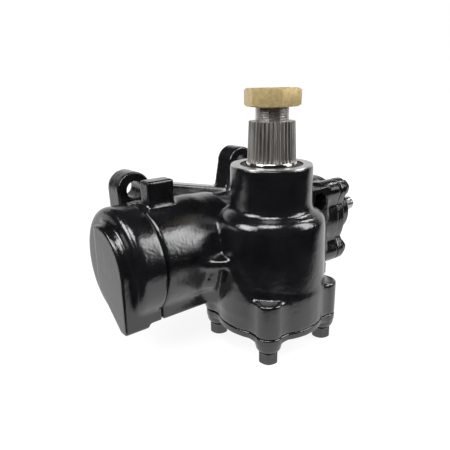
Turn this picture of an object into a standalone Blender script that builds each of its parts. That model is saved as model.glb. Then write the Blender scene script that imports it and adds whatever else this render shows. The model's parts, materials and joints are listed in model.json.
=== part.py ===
"""Integral power steering gearbox, a recirculating-ball box with a rotary valve.

Frame: the sector shaft's axis is Z. The box stands on its side-cover bolt heads at z = 0. +X runs along the
cylinder from its closed end to the input shaft, and +Y points to the vehicle's frame rail.
"""
import math

import bmesh
import bpy
from mathutils import Matrix, Vector

MM = 0.001
GAP = 0.3 * MM
PAST = 1.0 * MM
STEPS = 20
OUTSIDE_STEPS = 24
HOLE_STEPS = 8

# Rack axis and gear pair
RACK_Y = 47.5 * MM
RACK_Z = 66.3 * MM
SECTOR_TEETH_ROUND = 10
PITCH_R = 25.0 * MM
PRESSURE_ANGLE = math.radians(28)
ADDENDUM = 4.6 * MM
DEDENDUM = 5.3 * MM
BACKLASH = 0.5 * MM
WORM_TO_SECTOR = 14.0
LEAD = 2 * math.pi * PITCH_R / WORM_TO_SECTOR
SECTOR_LOW_Z = 46.0 * MM
SECTOR_HIGH_Z = 86.0 * MM
PITCH_LENGTH = 2 * math.pi * PITCH_R / SECTOR_TEETH_ROUND
RACK_TRAVEL = 18.23 * MM

# Cylinder and end cap
BARREL_R = 39.0 * MM
BARREL_WALL = 4.8 * MM
CYLINDER_R = BARREL_R - BARREL_WALL
PISTON_R = CYLINDER_R - 0.4 * MM
NUT_BORE_R = CYLINDER_R - 3.2 * MM
NUT_R = NUT_BORE_R - 0.6 * MM
NECK_WALL = 3.5 * MM
NECK_R = NUT_BORE_R + NECK_WALL
BARREL_END_X = -38.0 * MM
NECK_LOW_X = -8.0 * MM
CAP_SEAM_X = -80.8 * MM
CAP_RIM_X = -104.0 * MM
PAD_FACE_X = -108.4 * MM
CAP_R = BARREL_R + 0.6 * MM
CAP_ROOM_R = CYLINDER_R - 5.5 * MM
CYLINDER_END_X = -90.0 * MM
CYLINDER_STEP_X = -22.0 * MM
CYLINDER_STEP_LENGTH = 4.0 * MM
NUT_BORE_END_X = 75.5 * MM
PAD_R = BARREL_R - 9.8 * MM
PAD_FRONT_Y = RACK_Y - PAD_R
PAD_BACK_Y = RACK_Y + 8.0 * MM
FOOT_LOW_Z = RACK_Z - BARREL_R + 0.3 * MM
FOOT_END_X = -91.0 * MM
RIB_LOW_Z = FOOT_LOW_Z + 3.4 * MM
RIB_END_X = -20.0 * MM
CAP_SPIGOT_LENGTH = 5.4 * MM
O_RING_DEPTH = 2.2 * MM
RACK_END_X = 55.0 * MM
HEAD_LOW_X = CAP_SEAM_X + CAP_SPIGOT_LENGTH + RACK_TRAVEL + 2 * GAP
HEAD_HIGH_X = CYLINDER_STEP_X - RACK_TRAVEL - 1.0 * MM
PISTON_RING_X = HEAD_LOW_X + 5.0 * MM
PISTON_RING_WIDE = 4.0 * MM
PISTON_RING_DEPTH = 3.0 * MM
END_PLUG_R = 9.0 * MM
END_PLUG_LENGTH = 9.0 * MM

# Tower, flange and side cover
DRUM_TOP_R = 38.0 * MM
DRUM_LOW_R = DRUM_TOP_R + 1.2 * MM
FLANGE_R = DRUM_LOW_R + 0.4 * MM
COVER_R = DRUM_LOW_R - 0.5 * MM
TOWER_R = 28.3 * MM
SHOULDER_Z = 97.7 * MM
SHOULDER_DROP = 9.0 * MM
TOWER_TOP_Z = SHOULDER_Z + 31.6 * MM
CHAMBER_R = DRUM_TOP_R - 5.8 * MM
CHAMBER_TOP_Z = SECTOR_HIGH_Z + 2.0 * MM
FLANGE_LOW_Z = 20.4 * MM
FLANGE_TOP_Z = 44.5 * MM
COVER_BOLT_CIRCLE_R = DRUM_LOW_R - 1.0 * MM
COVER_BOLT_SPAN = COVER_BOLT_CIRCLE_R / math.sqrt(2)
LOBE_R = 9.5 * MM
COVER_RIM_Z = 15.3 * MM
COVER_BOSS_Z = 8.9 * MM
COVER_SPIGOT_R = CHAMBER_R - GAP
COVER_SEAL_Z = FLANGE_LOW_Z + 1.6 * MM
COVER_SEAL_WIDE = 2.6 * MM
NOSE_LOW_Z = 4.6 * MM
NOSE_R = 13.0 * MM
BOLT_R = 4.0 * MM
BOLT_TOP_Z = 34.5 * MM
BOLT_HEAD_FLATS = 12.5 * MM
BOLT_HEAD_TALL = COVER_BOSS_Z - GAP
WASHER_FACE_R = 6.6 * MM
WASHER_FACE_TALL = 1.0 * MM
ADJUSTER_R = 4.8 * MM
ADJUSTER_HEAD_R = 7.4 * MM
ADJUSTER_HEAD_TALL = 3.0 * MM
LOCK_NUT_FLATS = 17.0 * MM
BUSHING_R = 16.6 * MM
BUSHING_HOLDER_R = BUSHING_R + 3.0 * MM

# Sector shaft
TRUNNION_R = 14.0 * MM
TRUNNION_LOW_Z = 24.0 * MM
SLOT_R = 8.0 * MM
SLOT_DEEP = 6.0 * MM
JOURNAL_R = 17.4 * MM
SPLINE_LOW_Z = TOWER_TOP_Z + 1.1 * MM
SPLINE_TOP_Z = SPLINE_LOW_Z + 27.4 * MM
SPLINE_LOW_R = 16.6 * MM
SPLINE_TOP_R = 15.5 * MM
SPLINE_DEPTH = 1.2 * MM
SPLINE_COUNT = 36
THREAD_R = 11.1 * MM
THREAD_LENGTH = 19.7 * MM
SHAFT_TOP_Z = SPLINE_TOP_Z + THREAD_LENGTH
NUT_LOW_Z = SHAFT_TOP_Z - 10.2 * MM
NUT_TALL = 11.6 * MM
NUT_FLATS = 33.3 * MM

# Seals and bearing in the tower, from its mouth down
SEAL_BORE_R = 21.4 * MM
BEARING_BORE_R = 20.4 * MM
DUST_SEAL_TOP_Z = TOWER_TOP_Z - 0.5 * MM
STACK_GAP = 0.4 * MM
DUST_SEAL_TALL = 5.0 * MM
SNAP_RING_TALL = 1.6 * MM
WASHER_TALL = 1.5 * MM
SHAFT_SEAL_TALL = 6.5 * MM
STACK_TALL = DUST_SEAL_TALL + SNAP_RING_TALL + WASHER_TALL + SHAFT_SEAL_TALL + 4 * STACK_GAP
SEAL_BORE_LOW_Z = DUST_SEAL_TOP_Z - STACK_TALL
BEARING_LOW_Z = CHAMBER_TOP_Z + 4.0 * MM

# Valve end
FLANGE_X = 93.0 * MM
END_FLANGE_LENGTH = 23.0 * MM
END_FLANGE_R = NECK_R + 1.5 * MM
VALVE_FLANGE_X = 101.6 * MM
VALVE_FLANGE_R = NECK_R + 0.5 * MM
VALVE_BOLT_CIRCLE_R = NECK_R + 3.7 * MM
VALVE_BOLT_SPAN = VALVE_BOLT_CIRCLE_R / math.sqrt(2)
HUB_ROOT_R = 26.0 * MM
HUB_END_X = 125.0 * MM
HUB_R = 22.7 * MM
HUB_BORE_R = 13.0 * MM
SPIGOT_R = 24.0 * MM
SPIGOT_LENGTH = 15.0 * MM
INPUT_TIP_X = 153.7 * MM
INPUT_TIP_R = 6.3 * MM
INPUT_NECK_X = 131.0 * MM
SPOOL_R = 8.0 * MM
SPOOL_SLOTS = 4
VALVE_BODY_R = 15.4 * MM
VALVE_LOW_X = 88.4 * MM
VALVE_HIGH_X = VALVE_LOW_X + 24.2 * MM
VALVE_RING_PITCH = 5.7 * MM
VALVE_RING_WIDE = 2.2 * MM
VALVE_RING_DEPTH = 1.6 * MM
TORSION_R = 3.2 * MM
TORSION_WAIST_R = 2.3 * MM
TORSION_LOW_X = 68.0 * MM
TORSION_HIGH_X = 141.0 * MM
TORSION_BORE_R = TORSION_R + 0.4 * MM
PIN_X = 133.5 * MM
PIN_R = 1.2 * MM
DRIVE_PIN_OFFSET = 10.4 * MM

# Worm and balls
BALL_R = 2.3 * MM
TRACK_R = 3.3 * MM
BALL_CIRCLE_R = 11.5 * MM
WORM_R = 10.9 * MM
NUT_INNER_R = 12.1 * MM
WORM_LOW_X = -18.0 * MM
WORM_FLANGE_X = 76.0 * MM
WORM_FLANGE_R = 15.0 * MM
WORM_FLANGE_WIDE = 4.0 * MM
WORM_JOURNAL_R = 12.0 * MM
WORM_BEARING_R = 20.0 * MM
NUT_BOTTOM_X = WORM_LOW_X - RACK_TRAVEL - 1.5 * MM
BALLS_LOW_X = 12.0 * MM
BALLS_HIGH_X = BALLS_LOW_X + 2.5 * LEAD
TRACK_LOW_X = -8.0 * MM
TRACK_TURNS = 6.5

# Frame ears and the port boss
EAR_FRONT_Y = 70.0 * MM
EAR_BACK_Y = 88.0 * MM
EAR_R = 13.0 * MM
EAR_HOLE_R = 6.5 * MM
EARS = {"left": (-68.0 * MM, 109.6 * MM), "right": (34.0 * MM, 117.8 * MM), "low": (30.0 * MM, 13.6 * MM)}
BOSS_LOW = (-76.1 * MM, 35.8 * MM, RACK_Z)
BOSS_HIGH = (-56.3 * MM, 47.7 * MM, 121.4 * MM)
PORT_X = 66.0 * MM
PORT_FACE_Y = RACK_Y - NECK_R - 1.5 * MM
PORT_BOSS_HALF = 12.0 * MM
PRESSURE_PORT_Z = 88.0 * MM
RETURN_PORT_Z = 2 * RACK_Z - PRESSURE_PORT_Z
PORT_R = 8.0 * MM
PORT_DEEP = 13.0 * MM
OIL_HOLE_R = 3.0 * MM
PLUG_X = 80.0 * MM
PLUG_Y = RACK_Y - VALVE_BOLT_SPAN
PLUG_SEAT_Z = RACK_Z - VALVE_BOLT_SPAN - LOBE_R - 0.3 * MM
PLUG_LOW_Z = PLUG_SEAT_Z - 9.5 * MM
PLUG_R = 5.8 * MM
PLUG_SHANK_R = 4.0 * MM
PLUG_TIP_Z = PLUG_SEAT_Z + 5.5 * MM

# Shelf and web in the corner between the barrel and the drum
SHELF_TOP_Z = RACK_Z + 2.1 * MM
SHELF_TALL = 5.6 * MM
SHELF = [(-56.0 * MM, 9.5 * MM), (-38.5 * MM, -3.2 * MM), (-28.0 * MM, 5.0 * MM), (-30.0 * MM, 30.0 * MM),
         (-50.0 * MM, 30.0 * MM)]
WEB_FRONT = Vector((-46.5 * MM, 4.3 * MM))
WEB_BACK = Vector((-32.0 * MM, 21.4 * MM))
WEB_HALF = 2.0 * MM
WEB_SETBACK = 12.5 * MM

X_AXIS = Vector((1, 0, 0))
Y_AXIS = Vector((0, 1, 0))
Z_AXIS = Vector((0, 0, 1))
RACK_CENTRE = Vector((0, RACK_Y, RACK_Z))


def clear_scene():
    for old in list(bpy.data.objects):
        bpy.data.objects.remove(old, do_unlink=True)


def make_material(name, colour, roughness, metallic):
    material = bpy.data.materials.new(name)
    material.use_nodes = True
    shader = material.node_tree.nodes["Principled BSDF"]
    shader.inputs["Base Color"].default_value = (*colour, 1)
    shader.inputs["Roughness"].default_value = roughness
    shader.inputs["Metallic"].default_value = metallic
    return material


LOOKS = {
    "black_paint": ((0.012, 0.012, 0.014), 0.22, 0.0),
    "black_bolt": ((0.02, 0.02, 0.022), 0.3, 0.2),
    "steel": ((0.55, 0.54, 0.52), 0.35, 1.0),
    "zinc_yellow": ((0.62, 0.48, 0.2), 0.4, 1.0),
    "rubber": ((0.02, 0.02, 0.02), 0.7, 0.0),
    "bronze": ((0.6, 0.42, 0.22), 0.4, 1.0),
}


def make_object(name, bm, centre=None):
    """Turns a bmesh into an object whose origin is at centre."""
    bmesh.ops.remove_doubles(bm, verts=bm.verts, dist=0.000002)
    bmesh.ops.recalc_face_normals(bm, faces=bm.faces)
    origin = Vector(centre) if centre else Vector((0, 0, 0))
    bm.transform(Matrix.Translation(-origin))
    mesh = bpy.data.meshes.new(name)
    bm.to_mesh(mesh)
    bm.free()
    mesh.shade_smooth()
    mesh.set_sharp_from_angle(angle=math.radians(35))
    made = bpy.data.objects.new(name, mesh)
    made.location = origin
    bpy.context.scene.collection.objects.link(made)
    return made


def finish(made, look):
    """Gives a finished sub-part its own material."""
    made.data.materials.clear()
    made.data.materials.append(make_material(made.name, *LOOKS[look]))
    return made


def combine(target, tool, operation):
    """Joins a tool solid to the target, or cuts it out, and removes the tool."""
    modifier = target.modifiers.new("shape", "BOOLEAN")
    modifier.operation = operation
    modifier.solver = "EXACT"
    modifier.object = tool
    bpy.context.view_layer.update()
    evaluated = target.evaluated_get(bpy.context.evaluated_depsgraph_get())
    mesh = bpy.data.meshes.new_from_object(evaluated)
    target.modifiers.clear()
    target.data = mesh
    bpy.data.objects.remove(tool, do_unlink=True)
    mesh.shade_smooth()
    mesh.set_sharp_from_angle(angle=math.radians(35))
    return target


def add(target, tool):
    return combine(target, tool, "UNION")


def cut(target, tool):
    return combine(target, tool, "DIFFERENCE")


def soften(made, width, segments=2, angle=35):
    """Rounds the edges of a solid with a Bevel modifier, and applies it."""
    modifier = made.modifiers.new("round", "BEVEL")
    modifier.width = width
    modifier.segments = segments
    modifier.limit_method = "ANGLE"
    modifier.angle_limit = math.radians(angle)
    bpy.context.view_layer.update()
    evaluated = made.evaluated_get(bpy.context.evaluated_depsgraph_get())
    mesh = bpy.data.meshes.new_from_object(evaluated)
    made.modifiers.clear()
    made.data = mesh
    return made


def turned(name, profile, axis=Z_AXIS, centre=(0, 0, 0), steps=STEPS):
    """Turns a profile of (along, radius) points about an axis.

    A profile whose ends lie on the axis makes a solid, and any other is closed into a ring.
    """
    bm = bmesh.new()
    points = [bm.verts.new((radius, 0, along)) for along, radius in profile]
    edges = [bm.edges.new(pair) for pair in zip(points, points[1:])]
    on_axis = profile[0][1] == 0 and profile[-1][1] == 0
    if not on_axis:
        edges.append(bm.edges.new((points[-1], points[0])))
    bmesh.ops.spin(bm, geom=points + edges, cent=(0, 0, 0), axis=(0, 0, 1), angle=2 * math.pi, steps=steps)
    bmesh.ops.remove_doubles(bm, verts=bm.verts, dist=0.000002)
    if on_axis:
        bmesh.ops.dissolve_verts(bm, verts=[vert for vert in bm.verts if vert.co.xy.length < 0.000001])
    turn = Z_AXIS.rotation_difference(axis).to_matrix().to_4x4()
    bm.transform(Matrix.Translation(Vector(centre)) @ turn)
    return make_object(name, bm, centre)


def ring(name, low, high, inner, outer, axis=Z_AXIS, centre=(0, 0, 0), steps=STEPS):
    return turned(name, [(low, inner), (low, outer), (high, outer), (high, inner)], axis, centre, steps)


def rod(name, low, high, radius, axis=Z_AXIS, centre=(0, 0, 0), steps=STEPS):
    return turned(name, [(low, 0), (low, radius), (high, radius), (high, 0)], axis, centre, steps)


PLACE = {
    "Z": lambda u, v, w: (u, v, w),
    "X": lambda u, v, w: (w, u, v),
    "Y": lambda u, v, w: (u, w, v),
}


def prism(name, outline, low, high, axis="Z"):
    """Extrudes an outline. On Z it holds (x, y), on X (y, z) and on Y (x, z)."""
    place = PLACE[axis]
    bm = bmesh.new()
    face = bm.faces.new([bm.verts.new(place(u, v, low)) for u, v in outline])
    grown = bmesh.ops.extrude_face_region(bm, geom=[face])
    moved = [item for item in grown["geom"] if isinstance(item, bmesh.types.BMVert)]
    bmesh.ops.translate(bm, verts=moved, vec=Vector(place(0, 0, high - low)))
    return make_object(name, bm)


def box(name, low, high):
    outline = [(low[0], low[1]), (high[0], low[1]), (high[0], high[1]), (low[0], high[1])]
    return prism(name, outline, low[2], high[2])


def arc(centre, radius, start, end, steps):
    """Points of an arc, with its angles in degrees."""
    turns = [math.radians(start + (end - start) * step / steps) for step in range(steps + 1)]
    return [(centre[0] + radius * math.cos(turn), centre[1] + radius * math.sin(turn)) for turn in turns]


def lobed_round(reach, lobe_r, body_r, centre=(0, 0)):
    """Outline of a round flange of body_r with four round lobes for the bolts on a circle of radius reach."""
    meet = math.degrees(math.acos((reach ** 2 + body_r ** 2 - lobe_r ** 2) / (2 * reach * body_r)))
    blend = meet + 6
    outline = []
    for middle in (45, 135, 225, 315):
        turn = math.radians(middle)
        lobe = (centre[0] + reach * math.cos(turn), centre[1] + reach * math.sin(turn))
        outline += arc(lobe, lobe_r, middle - 70, middle + 70, 5)
        outline += arc(centre, body_r, middle + blend, middle + 90 - blend, 3)
    return outline


def hexagon(flats, turn=0.0, centre=(0, 0)):
    radius = flats / math.sqrt(3)
    return arc(centre, radius, turn, turn + 300, 5)


def corners(span):
    return [(sx * span, sy * span) for sx in (-1, 1) for sy in (-1, 1)]


def involute(angle):
    return math.tan(angle) - angle


def sector_outline():
    """Outline of the sector: a round hub with three involute teeth that point to +Y."""
    base_r = PITCH_R * math.cos(PRESSURE_ANGLE)
    root_r = PITCH_R - DEDENDUM
    tip_r = PITCH_R + ADDENDUM
    half_at_pitch = math.pi / (2 * SECTOR_TEETH_ROUND) - BACKLASH / 2 / PITCH_R
    radii = [base_r + (tip_r - base_r) * step / 5 for step in range(6)]

    def half_angle(radius):
        return half_at_pitch + involute(PRESSURE_ANGLE) - involute(math.acos(min(1, base_r / radius)))

    outline = []
    pitch_angle = 2 * math.pi / SECTOR_TEETH_ROUND
    for tooth in (-1, 0, 1):
        middle = math.pi / 2 + tooth * pitch_angle
        right = [(root_r, middle - half_angle(base_r))] + [(r, middle - half_angle(r)) for r in radii]
        left = [(r, middle + half_angle(r)) for r in reversed(radii)]
        left.append((root_r, middle + half_angle(base_r)))
        outline += right + left
    first = outline[0][1] + 2 * math.pi
    last = outline[-1][1]
    back_steps = 20
    outline += [(root_r, last + (first - last) * step / back_steps) for step in range(1, back_steps)]
    return [(r * math.cos(turn), r * math.sin(turn)) for r, turn in outline]


def serrated(radius, depth, count):
    """Outline of a serrated shaft: a valley and a peak for each tooth."""
    outline = []
    for point in range(2 * count):
        turn = math.pi * point / count
        size = radius if point % 2 else radius - depth
        outline.append((size * math.cos(turn), size * math.sin(turn)))
    return outline


def skin(name, loops):
    """Skins a row of closed loops of points with equal counts, and caps both ends."""
    bm = bmesh.new()
    made = [[bm.verts.new(point) for point in loop] for loop in loops]
    for low, high in zip(made, made[1:]):
        for index in range(len(low)):
            following = (index + 1) % len(low)
            bm.faces.new((low[index], low[following], high[following], high[index]))
    bm.faces.new(list(reversed(made[0])))
    bm.faces.new(made[-1])
    return make_object(name, bm)


def loft(name, rings, axis="Z"):
    """Skins a row of flat outlines, each given with its height along the axis."""
    return skin(name, [[PLACE[axis](u, v, height) for u, v in outline] for outline, height in rings])


def bolt(name, axis, middle, seat, tip, out):
    """A hexagon bolt with a washer face. Its head stands out from seat and its shank goes in to tip."""
    flat = (middle[0], middle[1]) if axis == "Z" else (middle[1], middle[2])
    direction = Z_AXIS if axis == "Z" else X_AXIS
    top = seat + out * BOLT_HEAD_TALL
    chamfer = 0.6 * MM
    full = hexagon(BOLT_HEAD_FLATS, 45, flat)
    head = loft(name, [(hexagon(BOLT_HEAD_FLATS - 2 * chamfer, 45, flat), top), (full, top - out * chamfer),
                       (full, seat + out * (WASHER_FACE_TALL - 0.2 * MM))], axis)
    face_end = seat + out * WASHER_FACE_TALL
    add(head, rod("washer_face", min(seat, face_end), max(seat, face_end), WASHER_FACE_R, direction, middle,
                  12))
    shank_end = seat + out * 0.5 * WASHER_FACE_TALL
    add(head, rod("shank", min(tip, shank_end), max(tip, shank_end), BOLT_R, direction, middle, HOLE_STEPS))
    finish(head, "black_bolt")


def helix_tube(name, radius, tube_r, start_x, end_x, sides=6, steps_per_turn=11, beads=False):
    """A tube along the ball track's helix about the rack axis, right-handed along +X.

    Its angle is zero where x is BALLS_LOW_X. With beads it narrows between each two balls.
    """
    turns = (end_x - start_x) / LEAD
    first_turn = 2 * math.pi * (start_x - BALLS_LOW_X) / LEAD
    if beads:
        steps_per_turn = 2 * round(2 * math.pi * radius / (2 * tube_r))
    count = max(8, round(turns * steps_per_turn))
    slope = math.atan2(LEAD, 2 * math.pi * radius)
    bm = bmesh.new()
    loops = []
    for step in range(count + 1):
        turn = first_turn + 2 * math.pi * turns * step / count
        size = tube_r * 0.55 if beads and step % 2 == 0 else tube_r
        along = start_x + (end_x - start_x) * step / count
        outward = Vector((0, math.cos(turn), math.sin(turn)))
        around = Vector((0, -math.sin(turn), math.cos(turn)))
        across = X_AXIS * math.cos(slope) - around * math.sin(slope)
        centre = RACK_CENTRE + X_AXIS * along + outward * radius
        loop = []
        for side in range(sides):
            part = 2 * math.pi * side / sides
            loop.append(bm.verts.new(centre + (outward * math.cos(part) + across * math.sin(part)) * size))
        loops.append(loop)
    for low, high in zip(loops, loops[1:]):
        for index in range(sides):
            following = (index + 1) % sides
            bm.faces.new((low[index], low[following], high[following], high[index]))
    bm.faces.new(loops[0])
    bm.faces.new(loops[-1])
    return make_object(name, bm)


def tapered_ear(name, centre, base_x, base_z):
    """An ear plate: a round end about centre that widens to its base on the casting."""
    up = 1 if centre[1] > base_z else -1
    outline = arc(centre, EAR_R, 0, 180, 9) if up > 0 else arc(centre, EAR_R, 180, 360, 9)
    if up > 0:
        outline += [(base_x[0], base_z), (base_x[1], base_z)]
    else:
        outline += [(base_x[1], base_z), (base_x[0], base_z)]
    return prism(name, outline, EAR_FRONT_Y, EAR_BACK_Y, "Y")


def housing_outside():
    """The casting without its bores: barrel, neck, tower, flange, ears, port boss and passages."""
    body = turned("gear_housing", [
        (CAP_SEAM_X, 0), (CAP_SEAM_X, BARREL_R - 0.8 * MM), (CAP_SEAM_X + 1.2 * MM, BARREL_R),
        (BARREL_END_X, BARREL_R), (BARREL_END_X + 8 * MM, BARREL_R - 0.9 * MM),
        (NECK_LOW_X - 10 * MM, NECK_R + 3 * MM), (NECK_LOW_X, NECK_R), (FLANGE_X - PAST, NECK_R),
        (FLANGE_X - PAST, 0),
    ], X_AXIS, RACK_CENTRE, OUTSIDE_STEPS)
    tower = turned("tower", [
        (FLANGE_LOW_Z + PAST, 0), (FLANGE_LOW_Z + PAST, DRUM_LOW_R),
        (FLANGE_TOP_Z - 4 * MM, DRUM_LOW_R), (SHOULDER_Z - SHOULDER_DROP, DRUM_TOP_R),
        (SHOULDER_Z - 3.5 * MM, DRUM_TOP_R - 1.4 * MM),
        (SHOULDER_Z, TOWER_R + 3 * MM), (SHOULDER_Z + 3 * MM, TOWER_R), (TOWER_TOP_Z - 0.6 * MM, TOWER_R),
        (TOWER_TOP_Z, TOWER_R - 0.6 * MM), (TOWER_TOP_Z, 0),
    ], steps=OUTSIDE_STEPS)
    add(body, tower)
    flange = prism("flange", lobed_round(COVER_BOLT_CIRCLE_R, LOBE_R, FLANGE_R), FLANGE_LOW_Z, FLANGE_TOP_Z)
    add(body, soften(flange, 1.5 * MM, 1))
    end_flange = prism("end_flange", lobed_round(VALVE_BOLT_CIRCLE_R, LOBE_R, END_FLANGE_R, (RACK_Y, RACK_Z)),
                       FLANGE_X - END_FLANGE_LENGTH, FLANGE_X, "X")
    add(body, soften(end_flange, 1.5 * MM, 1))
    for centre, base_x, base_z in (
        (EARS["left"], (-79 * MM, -46 * MM), RACK_Z - 4.3 * MM),
        (EARS["right"], (10 * MM, 58 * MM), RACK_Z - 4.3 * MM),
        (EARS["low"], (6 * MM, 54 * MM), RACK_Z + 3.7 * MM),
    ):
        add(body, soften(tapered_ear("ear", centre, base_x, base_z), 1.6 * MM, 1))
    wall = prism("wall", [(-66 * MM, 60 * MM), (-60 * MM, 104 * MM), (-35.7 * MM, 109.1 * MM),
                          (19.6 * MM, 97.6 * MM), (38 * MM, 104 * MM), (48 * MM, 60 * MM)],
                 EAR_FRONT_Y + 0.4 * MM, EAR_BACK_Y - 0.4 * MM, "Y")
    add(body, soften(wall, 1.5 * MM, 1))
    add(body, soften(box("boss", BOSS_LOW, BOSS_HIGH), 1.6 * MM, 1))
    port_boss = box("port_boss", (PORT_X - PORT_BOSS_HALF, PORT_FACE_Y, RETURN_PORT_Z - PORT_BOSS_HALF),
                    (PORT_X + PORT_BOSS_HALF, RACK_Y, PRESSURE_PORT_Z + PORT_BOSS_HALF))
    add(body, soften(port_boss, 3 * MM, 1))
    return body


def passage_rib(low_x, high_x):
    """A length of the cast oil passage under the front of the barrel."""
    front = PAD_FRONT_Y + 0.25 * MM
    outline = [(front, RIB_LOW_Z), (front + 17 * MM, RIB_LOW_Z), (RACK_Y, RACK_Z - 30 * MM),
               (RACK_Y, RACK_Z - 5 * MM), (front, RACK_Z - 5 * MM)]
    return prism("rib", outline, low_x, high_x, "X")


def corner_web():
    """The upright web under the shelf. Its front edge slopes back to the drum at the flange."""
    along = (WEB_BACK - WEB_FRONT).normalized()
    across = Vector((along.y, -along.x)) * WEB_HALF
    loops = []
    for setback, height in ((WEB_SETBACK, FLANGE_TOP_Z - 2 * PAST), (0, SHELF_TOP_Z - SHELF_TALL / 2)):
        front = WEB_FRONT + along * setback
        flat = [front - across, front + across, WEB_BACK + across, WEB_BACK - across]
        loops.append([(point.x, point.y, height) for point in flat])
    return skin("web", loops)


def gear_housing():
    body = housing_outside()
    add(body, passage_rib(CAP_SEAM_X + 0.05 * MM, RIB_END_X))
    add(body, soften(prism("shelf", SHELF, SHELF_TOP_Z - SHELF_TALL, SHELF_TOP_Z), 1.2 * MM, 1))
    add(body, corner_web())
    bore = turned("cylinder", [
        (CAP_SEAM_X - PAST, 0), (CAP_SEAM_X - PAST, CYLINDER_R), (CYLINDER_STEP_X, CYLINDER_R),
        (CYLINDER_STEP_X + CYLINDER_STEP_LENGTH, NUT_BORE_R), (NUT_BORE_END_X, NUT_BORE_R),
        (NUT_BORE_END_X, SPIGOT_R + GAP), (FLANGE_X + PAST, SPIGOT_R + GAP), (FLANGE_X + PAST, 0),
    ], X_AXIS, RACK_CENTRE, OUTSIDE_STEPS)
    cut(body, bore)
    bearing_step_z = BEARING_LOW_Z - GAP
    chamber = turned("chamber", [
        (FLANGE_LOW_Z - PAST, 0), (FLANGE_LOW_Z - PAST, CHAMBER_R), (CHAMBER_TOP_Z, CHAMBER_R),
        (CHAMBER_TOP_Z, JOURNAL_R + 1 * MM), (bearing_step_z, JOURNAL_R + 1 * MM),
        (bearing_step_z, BEARING_BORE_R),
        (SEAL_BORE_LOW_Z, BEARING_BORE_R), (SEAL_BORE_LOW_Z, SEAL_BORE_R), (TOWER_TOP_Z + PAST, SEAL_BORE_R),
        (TOWER_TOP_Z + PAST, 0),
    ])
    cut(body, chamber)
    hole_r = BOLT_R + GAP
    for x, y in corners(COVER_BOLT_SPAN):
        cut(body, rod("hole", FLANGE_LOW_Z - PAST, BOLT_TOP_Z + 1.5 * MM, hole_r, centre=(x, y, 0),
                      steps=HOLE_STEPS))
    for y, z in corners(VALVE_BOLT_SPAN):
        cut(body, rod("hole", FLANGE_X - END_FLANGE_LENGTH + 3 * MM, FLANGE_X + PAST, hole_r, X_AXIS,
                      (0, RACK_Y + y, RACK_Z + z), HOLE_STEPS))
    for x, z in EARS.values():
        cut(body, rod("hole", EAR_FRONT_Y - PAST, EAR_BACK_Y + PAST, EAR_HOLE_R, Y_AXIS, (x, 0, z), 12))
    for z in (PRESSURE_PORT_Z, RETURN_PORT_Z):
        bottom = PORT_FACE_Y + PORT_DEEP
        cut(body, turned("port", [
            (PORT_FACE_Y - PAST, 0), (PORT_FACE_Y - PAST, PORT_R), (bottom, PORT_R), (bottom, OIL_HOLE_R),
            (bottom + 7 * MM, OIL_HOLE_R), (bottom + 7 * MM, 0)], Y_AXIS, (PORT_X, 0, z), 16))
    cut(body, rod("plug_hole", PLUG_SEAT_Z - 5 * PAST, PLUG_TIP_Z + PAST, PLUG_SHANK_R + GAP,
                  centre=(PLUG_X, PLUG_Y, 0), steps=12))
    return finish(body, "black_paint")


def end_cap():
    """The cylinder's closed end, with its flat shield-shaped pad and the foot of the oil passage."""
    rim_x = CAP_SEAM_X - GAP
    spigot_r = CYLINDER_R - GAP
    seal_r = spigot_r - O_RING_DEPTH
    spigot_end = CAP_SEAM_X + CAP_SPIGOT_LENGTH
    seal_low = CAP_SEAM_X + 1.4 * MM
    seal_high = spigot_end - 1.4 * MM
    cap = turned("cylinder_end_cap", [
        (CAP_RIM_X, 0), (CAP_RIM_X, CAP_R - 8.5 * MM), (CAP_RIM_X + 1.2 * MM, CAP_R - 4.4 * MM),
        (CAP_RIM_X + 4 * MM, CAP_R - 1.4 * MM), (CAP_RIM_X + 8 * MM, CAP_R), (rim_x - 0.8 * MM, CAP_R),
        (rim_x, CAP_R - 0.8 * MM), (rim_x, spigot_r), (seal_low, spigot_r), (seal_low, seal_r),
        (seal_high, seal_r), (seal_high, spigot_r), (spigot_end, spigot_r), (spigot_end, CAP_ROOM_R),
        (CYLINDER_END_X, CAP_ROOM_R), (CYLINDER_END_X, 0),
    ], X_AXIS, RACK_CENTRE, OUTSIDE_STEPS)
    top_angle = math.degrees(math.acos((PAD_BACK_Y - RACK_Y) / PAD_R))
    face = [(PAD_FRONT_Y, FOOT_LOW_Z + 2 * MM)] + arc((RACK_Y, RACK_Z), PAD_R, 180, top_angle, 10)
    face += [(PAD_BACK_Y, RACK_Z - 16 * MM), (PAD_FRONT_Y + 8.5 * MM, FOOT_LOW_Z),
             (PAD_FRONT_Y + 2 * MM, FOOT_LOW_Z)]
    middle = Vector((RACK_Y - 8 * MM, RACK_Z - 4 * MM))
    wide = []
    for y, z in face:
        out = (Vector((y, z)) - middle).normalized() * 4.5 * MM if z > RACK_Z else Vector((0, 0))
        wide.append((y + out.x, z + out.y))
    pad = loft("pad", [(wide, FOOT_END_X), (wide, CAP_RIM_X - 0.2 * MM), (face, PAD_FACE_X)], "X")
    add(cap, soften(pad, 0.8 * MM, 1, 50))
    add(cap, passage_rib(FOOT_END_X - 2 * PAST, rim_x - 0.05 * MM))
    finish(cap, "black_paint")
    finish(ring("end_cap_seal", seal_low + GAP, seal_high - GAP, seal_r + GAP, spigot_r, X_AXIS, RACK_CENTRE,
                OUTSIDE_STEPS), "rubber")


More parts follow.
